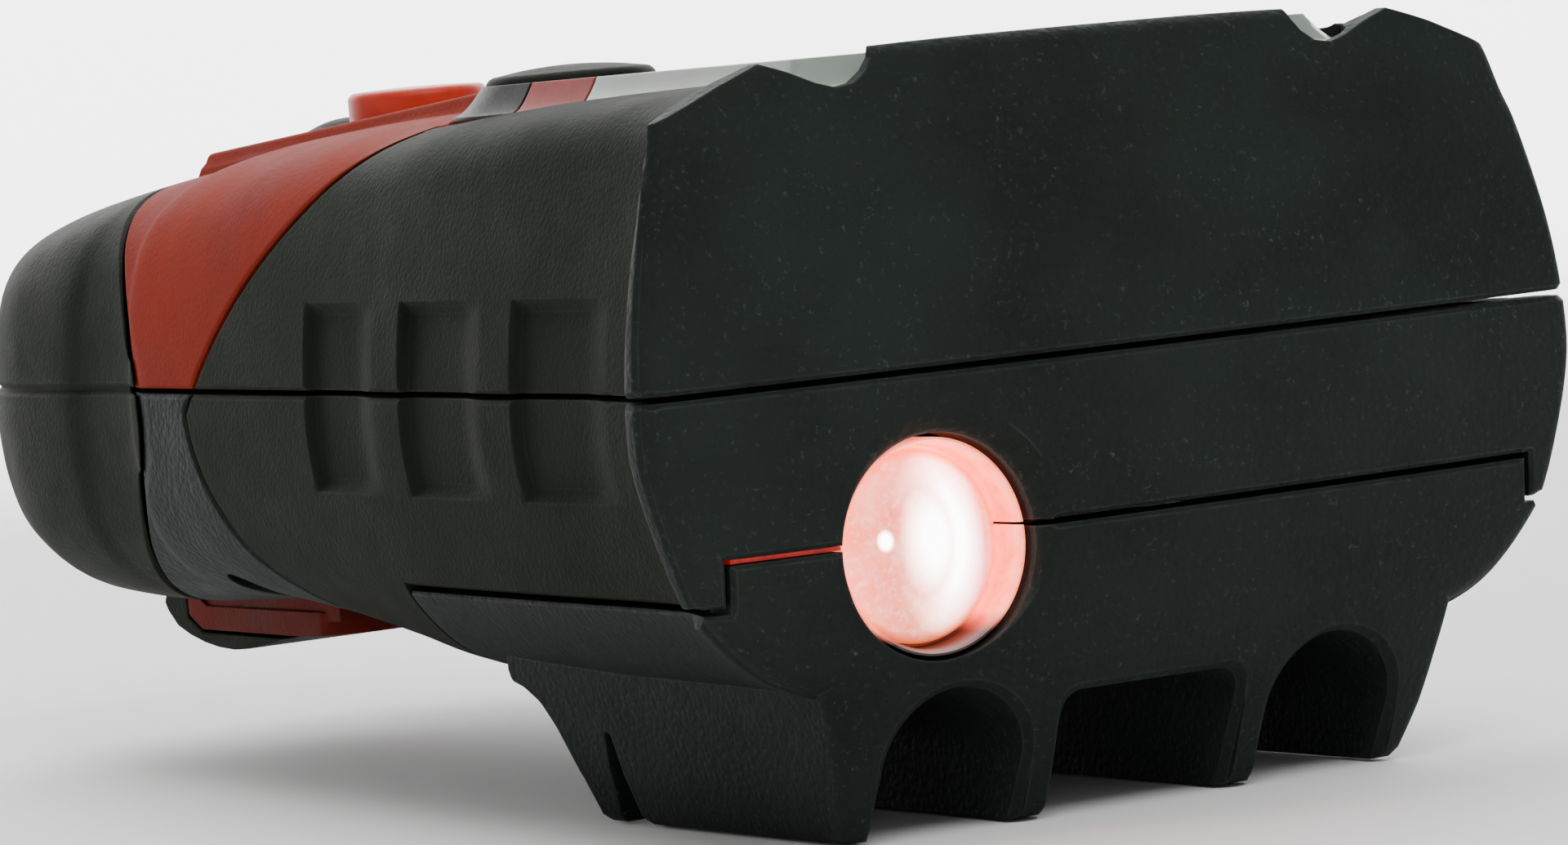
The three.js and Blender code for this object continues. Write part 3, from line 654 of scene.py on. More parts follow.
def seam_grooves():
    """Chamfers along the seams that run round the body."""
    upper = groove(level_loop(UPPER_SEAM), closed=True)
    bumper = groove(arc_loop(), closed=True)
    nose = [p for p in across_loop(NOSE_END + GAP / 2) if p[0][2] > LOWER_SEAM - 0.3]
    nose = sorted(nose, key=lambda p: math.atan2(p[0][0], p[0][2] - MIDDLE_Z))
    cutters = [upper, bumper, groove(nose)]
    side_seam = level_loop(LOWER_SEAM)
    for side in (-1, 1):
        run = [p for p in side_seam if p[0][0] * side > (20 if p[0][1] > 5 else TAB_HALF - 0.6)]
        run = [p for p in run if p[0][1] < COVER_END + 0.3]
        cutters.append(groove(sorted(run, key=lambda p: p[0][1] - p[0][0] * side * 0.2)))
        rise = [front_point(side * TAB_HALF, z) for z in np.arange(LOWER_SEAM - 0.2, FRONT_SEAM + 0.5, 0.45)]
        cutters.append(groove(rise))
    tab = [front_point(x, FRONT_SEAM) for x in np.arange(-TAB_HALF - 0.2, TAB_HALF + 0.3, 1.0)]
    cutters.append(groove(tab))
    return cutters


# ---------------------------------------------------------------- regions

def above(z):
    return box(-FAR, FAR, -FAR, LENGTH + FAR, z, z + 2 * FAR)


def below(z):
    return box(-FAR, FAR, -FAR, LENGTH + FAR, z - 2 * FAR, z)


def behind(y):
    return box(-FAR, FAR, y, LENGTH + FAR, -FAR, FAR)


def in_front_of(y):
    return box(-FAR, FAR, -FAR, y, -FAR, FAR)


def bumper_region(grow):
    return minus(behind(ARC_Y), cylinder("z", 0, ARC_Y, -FAR, 2 * FAR, ARC_RADIUS - grow, 160))


def trigger_room(grow):
    return box(-13.2 - grow, 13.2 + grow, 90, 131.5 + grow, -5, 19 + grow)


def cover_region(grow):
    main = box(-FAR, FAR, -FAR, COVER_END + grow, -FAR, LOWER_SEAM + grow)
    tab = TAB_HALF + grow
    return plus(main, box(-tab, tab, -FAR, TAB_BACK + grow, -FAR + 1, FRONT_SEAM + grow))


DISPLAY_LOW = node_box("display_window")[0][2]
DISPLAY_HIGH = node_box("display_window")[1][2]
DISPLAY_FRONT = node_box("display_window")[0][1]
DISPLAY_END = node_box("display_bezel")[1][1]
DISPLAY_HALF = node_box("display_window")[1][0]
GLASS_END = node_box("display_window")[1][1]
STRIPE_END = node_box("display_stripe")[1][1]
DISPLAY_BEVEL = 1.7


def display_outline(inset):
    """The plate's outline in plan: straight in front, and a half round at the back."""
    half = DISPLAY_HALF - inset
    shoulder = DISPLAY_END - inset - 15
    turns = np.radians(np.linspace(0, 180, 33))
    rear = [(half * math.cos(t), shoulder + 15 * math.sin(t)) for t in turns]
    corner = 1.2
    front = DISPLAY_FRONT + inset
    left = [(-half, front + corner), (-half + corner * 0.3, front + corner * 0.3), (-half + corner, front)]
    return rear + left + [(-x, y) for x, y in reversed(left)]


def plate(outlines):
    """A plate through [outline, height] pairs."""
    return loft("plate", [np.array([(x, y, z) for x, y in outline]) for outline, z in outlines])


def display_plate():
    steps = [(0.0, DISPLAY_LOW), (0.0, DISPLAY_LOW + 0.25)]
    for turn in np.radians([0, 18, 36, 54, 72, 90]):
        inset = 0.12 + (DISPLAY_BEVEL - 0.12) * math.sin(turn * 0.5) / math.sin(math.pi / 4)
        rise = (DISPLAY_HIGH - DISPLAY_LOW - 0.25) * (1 - math.cos(turn)) ** 0.75
        steps.append((inset, DISPLAY_LOW + 0.26 + rise * 0.99))
    return plate([(display_outline(inset), z) for inset, z in steps])


def display_pocket():
    """What the display's plate takes out of the pieces round it."""
    return plate([(display_outline(-GAP), DISPLAY_LOW - GAP), (display_outline(-GAP), FAR)])


def display_well():
    """The opening under the display's plate, for its module."""
    return box(-18, 18, 8.5, 54, 40, FAR)


KEYS = ("menu_key", "measure_key", "mode_key")
KEY_FLANGE = 0.5
KEY_Y = {name: (node_box(name)[0][1] + node_box(name)[1][1]) / 2 for name in KEYS}
KEY_RADIUS = {name: node_box(name)[1][0] - KEY_FLANGE for name in KEYS}


def key_holes():
    return [cylinder("z", 0, KEY_Y[name], 38, FAR, KEY_RADIUS[name] + GAP, 96) for name in KEYS]


def visor_notches():
    """The V-shaped notches in the nose's top edge, either side of the display's visor."""
    outline = [(16.1, 56), (16.1, 50.4), (16.3, 49.5), (16.9, 48.7), (17.9, 48.0), (19.2, 47.8),
               (20.6, 48.2), (22.4, 49.0), (24.4, 49.7), (27.5, 48.6), (31.5, 46.9), (36, 45.0), (38, 56)]
    cutters = []
    for side in (-1, 1):
        cutters.append(prism([(side * x, z) for x, z in outline], "y", -4, NOSE_END + 0.1))
    return cutters


def nose_cap():
    part = minus(OUTER, CAVITY)
    part = common(part, in_front_of(NOSE_END), above(UPPER_SEAM + SEAM_HALF_GAP))
    return minus(part, *GROOVES, *visor_notches(), display_pocket(), display_well())


PLATEAU_HALF = 10.5
PLATEAU_FRONT = 64.0
PLATEAU_TOP = 48.3
PLATEAU_TOP_Y = 84
PLATEAU_SLOPE = 0.0655


def plateau_top(y):
    return PLATEAU_TOP - (y - PLATEAU_TOP_Y) * PLATEAU_SLOPE


def keypad_plateau():
    """The raised strip under the measure and mode keys, which ends along the bumper's arc."""
    rings = []
    for inset, sink in ((-0.9, -6.0), (-0.9, -1.9), (-0.5, -1.2), (0.0, -0.75), (0.2, -0.3), (0.45, -0.08),
                        (0.8, 0.0)):
        half = PLATEAU_HALF - inset
        radius = ARC_RADIUS - GAP - 0.2 - inset * 0.5
        across = np.linspace(half, -half, 41)
        rear = [(x, ARC_Y + math.sqrt(radius ** 2 - x * x)) for x in across]
        outline = rear + [(-half, PLATEAU_FRONT + inset), (half, PLATEAU_FRONT + inset)]
        rings.append(np.array([(x, y, plateau_top(y) + sink) for x, y in outline]))
    return minus(loft("plateau", rings), cylinder("z", 0, 84, 20, 43.6, 60))


def upper_housing():
    part = common(minus(OUTER, CAVITY), above(UPPER_SEAM + SEAM_HALF_GAP), behind(NOSE_END + GAP))
    part = minus(part, *GROOVES)
    part = plus(part, keypad_plateau())
    part = minus(part, display_pocket(), display_well(), *key_holes())
    return minus(part, *housing_recess())


def housing_recess():
    grips = [minus(grip_region(side, GAP), UNDER_GRIP_GAP) for side in (-1, 1)]
    bumper = minus(bumper_region(GAP), UNDER_BUMPER_GAP, trigger_room(-GAP))
    return grips + [bumper, behind(LENGTH - BUMPER_WALL - GAP)]


def lens_hole():
    wall = cylinder("y", LENS_X, LENS_Z, -5, 14, LENS_HOLE, 128)
    profile = [(0, -1.5), (LENS_HOLE + 2.6, -1.5), (LENS_HOLE + 1.7, 0.2), (LENS_HOLE + 1.1, 0.55),
               (LENS_HOLE + 0.3, 1.0), (LENS_HOLE - 0.1, 1.6), (0, 1.6)]
    return plus(wall, turned(profile, (LENS_X, LENS_Z), "y", 128))


SCREW_HEAD_HOLE = 2.8
HOUSING_SCREW_X = 20
HOUSING_SCREW_Y = 88
COVER_SCREW_Y = 37.2


def lower_housing():
    part = common(minus(OUTER, CAVITY), below(UPPER_SEAM - SEAM_HALF_GAP))
    part = minus(part, cover_region(SEAM_HALF_GAP), *GROOVES, *housing_recess())
    trigger_opening = box(-9.4, 9.4, 96.9, 126, 3, 19.5)
    part = minus(part, trigger_opening, *door_opening(), lens_hole())
    for x in (-HOUSING_SCREW_X, HOUSING_SCREW_X):
        part = minus(part, cylinder("z", x, HOUSING_SCREW_Y, 5, 18, SCREW_HEAD_HOLE, 48))
    return part


DOOR_HALF = 12.3
DOOR_Y = 55.0
DOOR_Z = 11.0
DOOR_END = 91.8
DOOR_BEAD = 1.5


def door_opening():
    slot = box(-DOOR_HALF - GAP, DOOR_HALF + GAP, DOOR_Y, DOOR_END + GAP, 3, 17.5)
    bead = cylinder("x", DOOR_Y, DOOR_Z, -DOOR_HALF - GAP, DOOR_HALF + GAP, DOOR_BEAD + GAP, 64)
    front = box(-DOOR_HALF - GAP, DOOR_HALF + GAP, DOOR_Y - DOOR_BEAD - GAP, DOOR_Y + 1, 3.5, 17)
    return [slot, bead, front]


def battery_door():
    """The door's plate follows the body's underside; it turns on a round bead and has grip ribs."""
    skin = common(minus(OUTER, CAVITY), box(-DOOR_HALF, DOOR_HALF, DOOR_Y, DOOR_END, 5, 17))
    bead = bevelled(cylinder("x", DOOR_Y, DOOR_Z, -DOOR_HALF, DOOR_HALF, DOOR_BEAD, 48), 0.3)
    part = plus(skin, bead)
    for i in range(5):
        low = top_point(0, DOOR_END - 9 + i * 1.5, from_above=False)[0]
        part = minus(part, cylinder("x", low[1], low[2] - 0.1, -6.5, 6.5, 0.5, 24))
    return part


ARCH_X = 14.7
ARCH_RADIUS = 5.2
ARCH_TOP = 9.4
SLOT_HALF = 6.9
SLOT_TOP = 8.1
SLOT_CORNER = 1.5
FOOT_OUTLINE = [(-21.3, 0), (21.3, 0), (21.9, 0.5), (22.9, 3.5), (23.7, 7), (24.6, 10.4), (24.6, 12.4),
                (-24.6, 12.4), (-24.6, 10.4), (-23.7, 7), (-22.9, 3.5), (-21.9, 0.5)]
FOOT_SIDE = [(-8, 0), (37, 0), (37.8, 3), (39.4, 6.4), (40.6, 8.2), (42.2, 9.2), (43.6, 9.6), (43.6, 12.3),
             (-8, 12.3)]


def foot_channels():
    cutters = []
    for side in (-1, 1):
        arch_x = side * ARCH_X
        turns = np.radians(np.linspace(0, 180, 41))
        centre = ARCH_TOP - ARCH_RADIUS
        top = [(arch_x + ARCH_RADIUS * math.cos(t), centre + ARCH_RADIUS * math.sin(t)) for t in turns]
        outline = top + [(arch_x - ARCH_RADIUS, -6), (arch_x + ARCH_RADIUS, -6)]
        cutters.append(prism(outline, "y", -9, 60))
        cutters.append(mouth(outline, [(x + (x - arch_x) * 0.1, z + 0.45) for x, z in outline]))
    corner_x = SLOT_HALF - SLOT_CORNER
    corner_z = SLOT_TOP - SLOT_CORNER
    turns = np.radians(np.linspace(0, 90, 9))
    right = [(corner_x + SLOT_CORNER * math.cos(t), corner_z + SLOT_CORNER * math.sin(t)) for t in turns]
    middle = right + [(-x, z) for x, z in reversed(right)] + [(-SLOT_HALF, -6), (SLOT_HALF, -6)]
    cutters.append(prism(middle, "y", -9, 60))
    cutters.append(mouth(middle, [(x * 1.07, z + 0.45) for x, z in middle]))
    slit = [(31.2, -1), (35.2, -1), (34.8, 0.4), (34.4, 1.2), (33.15, 6.3), (32.7, 6.5), (32.3, 6.3),
            (31.8, 0.8), (31.5, 0.2)]
    for side in (-1, 1):
        cutters.append(prism(slit, "x", *sorted((side * 19, side * FAR))))
    return cutters


def mouth(inner, wide):
    """A short flared opening that chamfers a channel's edge at the front face."""
    rings = []
    for outline, back in ((wide, -3.0), (wide, 0.0), (inner, 0.55)):
        rings.append(np.array([(x, float(nose_face(x, z)) + back, z) for x, z in outline]))
    return loft("mouth", rings)


def densified(outline, step):
    """The same closed outline with points at most a step apart."""
    points = []
    for (x0, z0), (x1, z1) in zip(outline, outline[1:] + outline[:1]):
        count = max(1, math.ceil(math.hypot(x1 - x0, z1 - z0) / step))
        points += [(x0 + (x1 - x0) * i / count, z0 + (z1 - z0) * i / count) for i in range(count)]
    return points


def foot_block():
    """The docking foot under the nose, whose front carries on the face's curve."""
    outline = np.array(densified(FOOT_OUTLINE, 1.2))
    centre = outline.mean(0)
    radius = 1.0

    def face_ring(points, back):
        x, z = np.array(points).T
        under_nose = 0.35 * soft_step((z - 10.4) / 1.6)
        return np.column_stack([x, nose_face(x, z) + back + under_nose, z])

    rings = [face_ring(centre + (outline - centre) * share, 0.0) for share in (0.1, 0.3, 0.5, 0.7, 0.85)]
    for turn in np.radians([0, 20, 40, 60, 75, 90]):
        inset = radius * (1 - math.sin(turn))
        share = 1 - inset / np.abs(outline - centre).max(0)
        rings.append(face_ring(centre + (outline - centre) * share, radius * (1 - math.cos(turn))))
    rings.append(np.array([(x, 50.0, z) for x, z in outline]))
    side = bevelled(prism(FOOT_SIDE, "x", -FAR, FAR), 0.3, 3, 12)
    return common(loft("foot", rings), side)


def base_cover():
    region = cover_region(-SEAM_HALF_GAP)
    skin = minus(common(minus(OUTER, CAVITY), region), *GROOVES)
    foot = minus(common(foot_block(), region), CAVITY)
    part = minus(plus(skin, foot), *foot_channels(), lens_hole())
    for x in (-ARCH_X, ARCH_X):
        part = minus(part, cylinder("z", x, COVER_SCREW_Y, -1, 10.6, SCREW_HEAD_HOLE, 48))
    return part


# ---------------------------------------------------------------- grips and bumper

RECESSES = [(10.4, 25.6), (29.6, 43.9), (47.6, 60.9)]
RECESS_LOW = 22.8
RECESS_HIGH = 36.0
RECESS_DEPTH = 0.8


def finger_recess(side, front, rear):
    """A shallow pocket that fades out at its front and has a crisp rear edge."""
    across = np.concatenate([np.linspace(front, rear - 1.2, 26), np.linspace(rear - 1.0, rear, 9)])
    heights = np.linspace(RECESS_LOW, RECESS_HIGH, 30)
    inner = np.zeros((len(across), len(heights), 3))
    outer = inner.copy()
    for i, y in enumerate(across):
        for j, z in enumerate(heights):
            place = side_point(side, y, z)[0]
            edge = soft_step((z - RECESS_LOW) / 0.8) * soft_step((RECESS_HIGH - z) / 0.8)
            along = soft_step((y - front) / 5.5) * soft_step((rear - y) / 0.55)
            sunk = RECESS_DEPTH * edge * along
            inner[i, j] = place - np.array([side, 0, 0]) * (sunk - 0.02 * (1 - edge * along))
            outer[i, j] = place + np.array([side * 2, 0, 0])
    return grid_solid("recess", inner, outer)


def grips(side):
    """The upper and lower rubber skins on one side."""
    skin = common(minus(OUTER, UNDER_GRIP), grip_region(side, 0))
    skin = minus(skin, *GROOVES, *[finger_recess(side, a, b) for a, b in RECESSES])
    upper = minus(common(skin, above(UPPER_SEAM + SEAM_HALF_GAP)), display_pocket())
    lower = minus(common(skin, below(UPPER_SEAM - SEAM_HALF_GAP)), cover_region(SEAM_HALF_GAP))
    return upper, lower


def rear_bumper():
    inner = common(UNDER_BUMPER, in_front_of(LENGTH - BUMPER_WALL))
    cup = minus(common(OUTER, bumper_region(0)), inner, trigger_room(0))
    return minus(cup, *GROOVES)


# ---------------------------------------------------------------- keys and trigger

FLANGE_HEIGHT = 1.2


def key(name, dome, shoulder=0.9):
    """A turned key cap with a rounded shoulder and a crowned or dished top."""
    bottom = node_box(name)[0][2]
    top = node_box(name)[1][2]
    flange_top = bottom + FLANGE_HEIGHT
    radius = KEY_RADIUS[name]
    out = radius + KEY_FLANGE
    profile = [(0, bottom), (out, bottom), (out, flange_top), (radius, flange_top)]
    for turn in np.radians([0, 15, 30, 45, 60, 75, 90]):
        drop = dome + shoulder * (1 - math.sin(turn))
        profile.append((radius - shoulder * (1 - math.cos(turn)), top - drop))
    for share in (0.75, 0.6, 0.45, 0.3, 0.15, 0.0):
        inside = (radius - shoulder) * share
        profile.append((inside, top - dome * (inside / (radius - shoulder)) ** 2))
    return turned(profile, (0, KEY_Y[name]), "z", 96)


TRIGGER_PIN_Y = 121.5
TRIGGER_PIN_Z = 15.0
TRIGGER_NOSE = 4.5  # how far the lever's front is rounded back at its sides


def trigger_lever():
    tip = node_box("trigger")[0][1]
    half = node_box("trigger")[1][0]
    lip = [(tip + 1.0, 9.15), (tip + 0.2, 9.5), (tip, 9.95), (tip + 0.3, 10.4), (tip + 1.2, 10.7),
           (102, 10.9), (121, 10.9), (124.2, 12.6), (124.2, 10.1), (122, 9.0), (105, 8.9)]
    turns = np.radians(np.linspace(0, 180, 25))
    front = [(half * math.cos(t), tip + TRIGGER_NOSE * (1 - math.sin(t))) for t in turns]
    plan = prism(front + [(-half, 126), (half, 126)], "z", 5, 20)
    lip = bevelled(common(prism(lip, "x", -half, half), plan), 0.35, 3, 30)
    stem = prism([(98.6, 10.2), (98.8, 16.2), (116, 16.2), (119.6, 17.4), (123.2, 17.4), (124.2, 15),
                  (124.2, 10.2)], "x", -half + 0.3, half - 0.3)
    return minus(plus(lip, stem), cylinder("x", TRIGGER_PIN_Y, TRIGGER_PIN_Z, -20, 20, 1.05, 32))


def trigger_pad():
    half = node_box("trigger_pad")[1][0]
    outline = [(108.2, 8.65), (110, 8.3), (112, 8.0), (114.5, 7.65), (117, 7.5), (119.5, 7.62), (122, 7.95),
               (124.5, 8.5), (126.5, 9.15), (128, 10.3), (128.5, 11.0), (128.2, 11.6), (124.5, 12.0),
               (124.5, 9.95), (122.1, 8.75)]
    return bevelled(prism(outline, "x", -half, half), 0.4, 3, 40)


# ---------------------------------------------------------------- lens

def front_lens():
    low, high = node_box("front_lens")
    radius = high[0] - LENS_X
    profile = [(0, high[1]), (radius, high[1]), (radius, low[1] + 1.1)]
    for share in (0.97, 0.9, 0.8, 0.7, 0.6, 0.5, 0.4, 0.3, 0.2, 0.1, 0.0):
        profile.append((radius * share, low[1] + 0.95 * share ** 2))
    return turned(profile, (LENS_X, LENS_Z), "y", 128)


def lens_sleeve(upper):
    """One half of the moulded sleeve in the lens hole, with fine steps along its wall."""
    low, high = node_box("lens_sleeve_upper" if upper else "lens_sleeve_lower")
    outer = LENS_HOLE - GAP
    bore = outer - 0.4
    profile = [(outer, high[1]), (outer, low[1]), (bore + 0.25, low[1]), (bore + 0.12, low[1] + 0.25),
               (bore, low[1] + 0.5), (bore, low[1] + 2.6), (bore - 0.12, low[1] + 2.7),
               (bore - 0.12, high[1])]
    rings = []
    for radius, y in profile:
        rings.append(np.array([(LENS_X + a, y, LENS_Z + b) for a, b in circle(0, 0, radius, 96)]))
    tube = closed_sweep(rings)
    return common(tube, above(FRONT_SEAM + 0.1) if upper else below(FRONT_SEAM - 0.1))


def seam_light():
    """A thin glowing strip deep in the front seam, between the lens and the cover's raised tab: painted
    light that stands in for the lamp's light showing through the seam.
    """
    start, end = -TAB_HALF + 0.5, LENS_X - LENS_HOLE + 0.2
    across = np.linspace(start, end, 24)
    front = [(x, float(nose_face(x, FRONT_SEAM)) + 0.75) for x in across]
    back = [(x, y + 2.2) for x, y in reversed(front)]
    return prism(front + back, "z", FRONT_SEAM - 0.13, FRONT_SEAM + 0.13)


# ---------------------------------------------------------------- materials

def node(tree, kind, **values):
    made = tree.nodes.new(kind)
    for name, value in values.items():
        setattr(made, name, value)
    return made


def new_material(name):
    material = bpy.data.materials.new(name)
    material.use_nodes = True
    tree = material.node_tree
    surface = tree.nodes["Principled BSDF"]
    place = node(tree, "ShaderNodeTexCoord")
    return material, tree, surface, place.outputs["Object"]


def noise(tree, place, size, detail=2.0, rough=0.5):
    """Noise whose blotches are about size millimetres across."""
    made = node(tree, "ShaderNodeTexNoise")
    made.inputs["Scale"].default_value = 1 / (size * MM)
    made.inputs["Detail"].default_value = detail
    made.inputs["Roughness"].default_value = rough
    tree.links.new(place, made.inputs["Vector"])
    return made.outputs["Fac"]


def ramp(tree, value, *stops):
    """A colour ramp through [position, colour] stops."""
    made = node(tree, "ShaderNodeValToRGB")
    elements = made.color_ramp.elements
    while len(elements) < len(stops):
        elements.new(0.5)
    for element, (position, colour) in zip(elements, stops):
        element.position = position
        element.color = (*colour, 1) if len(colour) == 3 else colour
    tree.links.new(value, made.inputs["Fac"])
    return made.outputs["Color"]


def mixed(tree, share, a, b, blend="MIX"):
    """A mix of two colours, each given as a colour or as a socket."""
    made = node(tree, "ShaderNodeMix", data_type="RGBA", blend_type=blend)
    for socket, value in ((made.inputs[0], share), (made.inputs[6], a), (made.inputs[7], b)):
        if isinstance(value, bpy.types.NodeSocket):
            tree.links.new(value, socket)
        elif isinstance(value, (int, float)):
            socket.default_value = value
        else:
            socket.default_value = (*value, 1)
    return made.outputs[2]


def math_of(tree, operation, a, b=0.0, clamp=False):
    made = node(tree, "ShaderNodeMath", operation=operation, use_clamp=clamp)
    for socket, value in zip(made.inputs, (a, b)):
        if isinstance(value, bpy.types.NodeSocket):
            tree.links.new(value, socket)
        else:
            socket.default_value = value
    return made.outputs[0]


def ranged(tree, value, low, high, to_low, to_high):
    made = node(tree, "ShaderNodeMapRange", clamp=True)
    for name, number in (("From Min", low), ("From Max", high), ("To Min", to_low), ("To Max", to_high)):
        made.inputs[name].default_value = number
    tree.links.new(value, made.inputs["Value"])
    return made.outputs["Result"]


def edge_mask(tree, radius):
    """1 on rubbed edges and 0 on flat surfaces, with the rounded normal that it comes from."""
    soft = node(tree, "ShaderNodeBevel", samples=4)
    soft.inputs["Radius"].default_value = radius * MM
    flat = node(tree, "ShaderNodeNewGeometry")
    product = node(tree, "ShaderNodeVectorMath", operation="DOT_PRODUCT")
    tree.links.new(soft.outputs["Normal"], product.inputs[0])
    tree.links.new(flat.outputs["Normal"], product.inputs[1])
    return ranged(tree, product.outputs["Value"], 0.995, 0.86, 0.0, 1.0), soft.outputs["Normal"]


def grained(name, dark, light, worn_and_glint_colour, rough, grain, depth, wear=0.5, painted_glint=0.3, blotch=14.0, shine=0.05):
    """Moulded plastic or rubber: blotched colour, pebbled grain, pale specks in the grain that are painted
    glints of light, and edges rubbed pale by wear.
    """
    material, tree, surface, place = new_material(name)
    wide = noise(tree, place, blotch, 3.0, 0.55)
    fine = noise(tree, place, grain * 0.8, 2.0, 0.6)
    speck = noise(tree, place, grain * 1.3, 3.0, 0.7)
    film = noise(tree, place, 5.0, 5.0, 0.7)
    pebble = node(tree, "ShaderNodeTexVoronoi", feature="SMOOTH_F1")
    pebble.inputs["Scale"].default_value = 1 / (grain * 1.6 * MM)
    pebble.inputs["Smoothness"].default_value = 0.5
    tree.links.new(place, pebble.inputs["Vector"])
    base = ramp(tree, wide, (0.3, dark), (0.7, light))
    hills = ranged(tree, pebble.outputs["Distance"], 0.1, 0.65, 0.28, 0.0)
    colour = mixed(tree, hills, base, light)
    # Pale specks in the grain: painted highlights, glints of light on the pebbles painted into the colour.
    # They share their pale colour with the worn edges.
    specks = ranged(tree, speck, 0.6, 0.78, 0.0, 1.0)
    painted_glints = math_of(tree, "MULTIPLY", specks, ranged(tree, film, 0.4, 0.65, 0.3, 1.0))
    colour = mixed(tree, math_of(tree, "MULTIPLY", painted_glints, painted_glint), colour, worn_and_glint_colour)
    edges, normal = edge_mask(tree, 0.25)
    patches = ranged(tree, noise(tree, place, 1.6, 3.0), 0.35, 0.65, 0.2, wear)
    patchy = math_of(tree, "MULTIPLY", edges, patches)
    colour = mixed(tree, patchy, colour, worn_and_glint_colour)
    tree.links.new(colour, surface.inputs["Base Color"])
    surface.inputs["Specular IOR Level"].default_value = shine
    roughness = ranged(tree, math_of(tree, "ADD", wide, film), 0.75, 1.25, rough - 0.07, rough + 0.07)
    roughness = math_of(tree, "SUBTRACT", roughness, math_of(tree, "MULTIPLY", patchy, 0.12), clamp=True)
    tree.links.new(roughness, surface.inputs["Roughness"])
    height = math_of(tree, "SUBTRACT", math_of(tree, "MULTIPLY", fine, 0.7), pebble.outputs["Distance"])
    bump = node(tree, "ShaderNodeBump")
    bump.inputs["Strength"].default_value = 1.0
    bump.inputs["Distance"].default_value = depth * MM
    tree.links.new(height, bump.inputs["Height"])
    tree.links.new(normal, bump.inputs["Normal"])
    tree.links.new(bump.outputs["Normal"], surface.inputs["Normal"])
    return material


def glossy(name, dark, light, rough, coat=0.0, metallic=0.0, blotch=3.0, shine=0.3):
    """A smooth moulded, polished or metal surface with faint waviness and handling marks."""
    material, tree, surface, place = new_material(name)
    wide = noise(tree, place, blotch, 4.0, 0.6)
    fine = noise(tree, place, 0.35, 3.0, 0.7)
    colour = ramp(tree, wide, (0.3, dark), (0.72, light))
    edges, normal = edge_mask(tree, 0.2)
    colour = mixed(tree, math_of(tree, "MULTIPLY", edges, 0.35), colour, light)
    tree.links.new(colour, surface.inputs["Base Color"])
    roughness = ranged(tree, fine, 0.3, 0.7, max(rough - 0.05, 0.02), rough + 0.08)
    tree.links.new(roughness, surface.inputs["Roughness"])
    surface.inputs["Metallic"].default_value = metallic
    surface.inputs["Specular IOR Level"].default_value = shine
    surface.inputs["Coat Weight"].default_value = coat
    surface.inputs["Coat Roughness"].default_value = 0.08
    bump = node(tree, "ShaderNodeBump")
    bump.inputs["Strength"].default_value = 0.6
    bump.inputs["Distance"].default_value = 0.004 * MM
    tree.links.new(math_of(tree, "ADD", wide, fine), bump.inputs["Height"])
    tree.links.new(normal, bump.inputs["Normal"])
    tree.links.new(bump.outputs["Normal"], surface.inputs["Normal"])
    return material


LENS_GLOW = 2.2
# Glow strength of the lens's middle and of its painted highlights.
LENS_CORE_AND_HIGHLIGHT_GLOW = 12.0


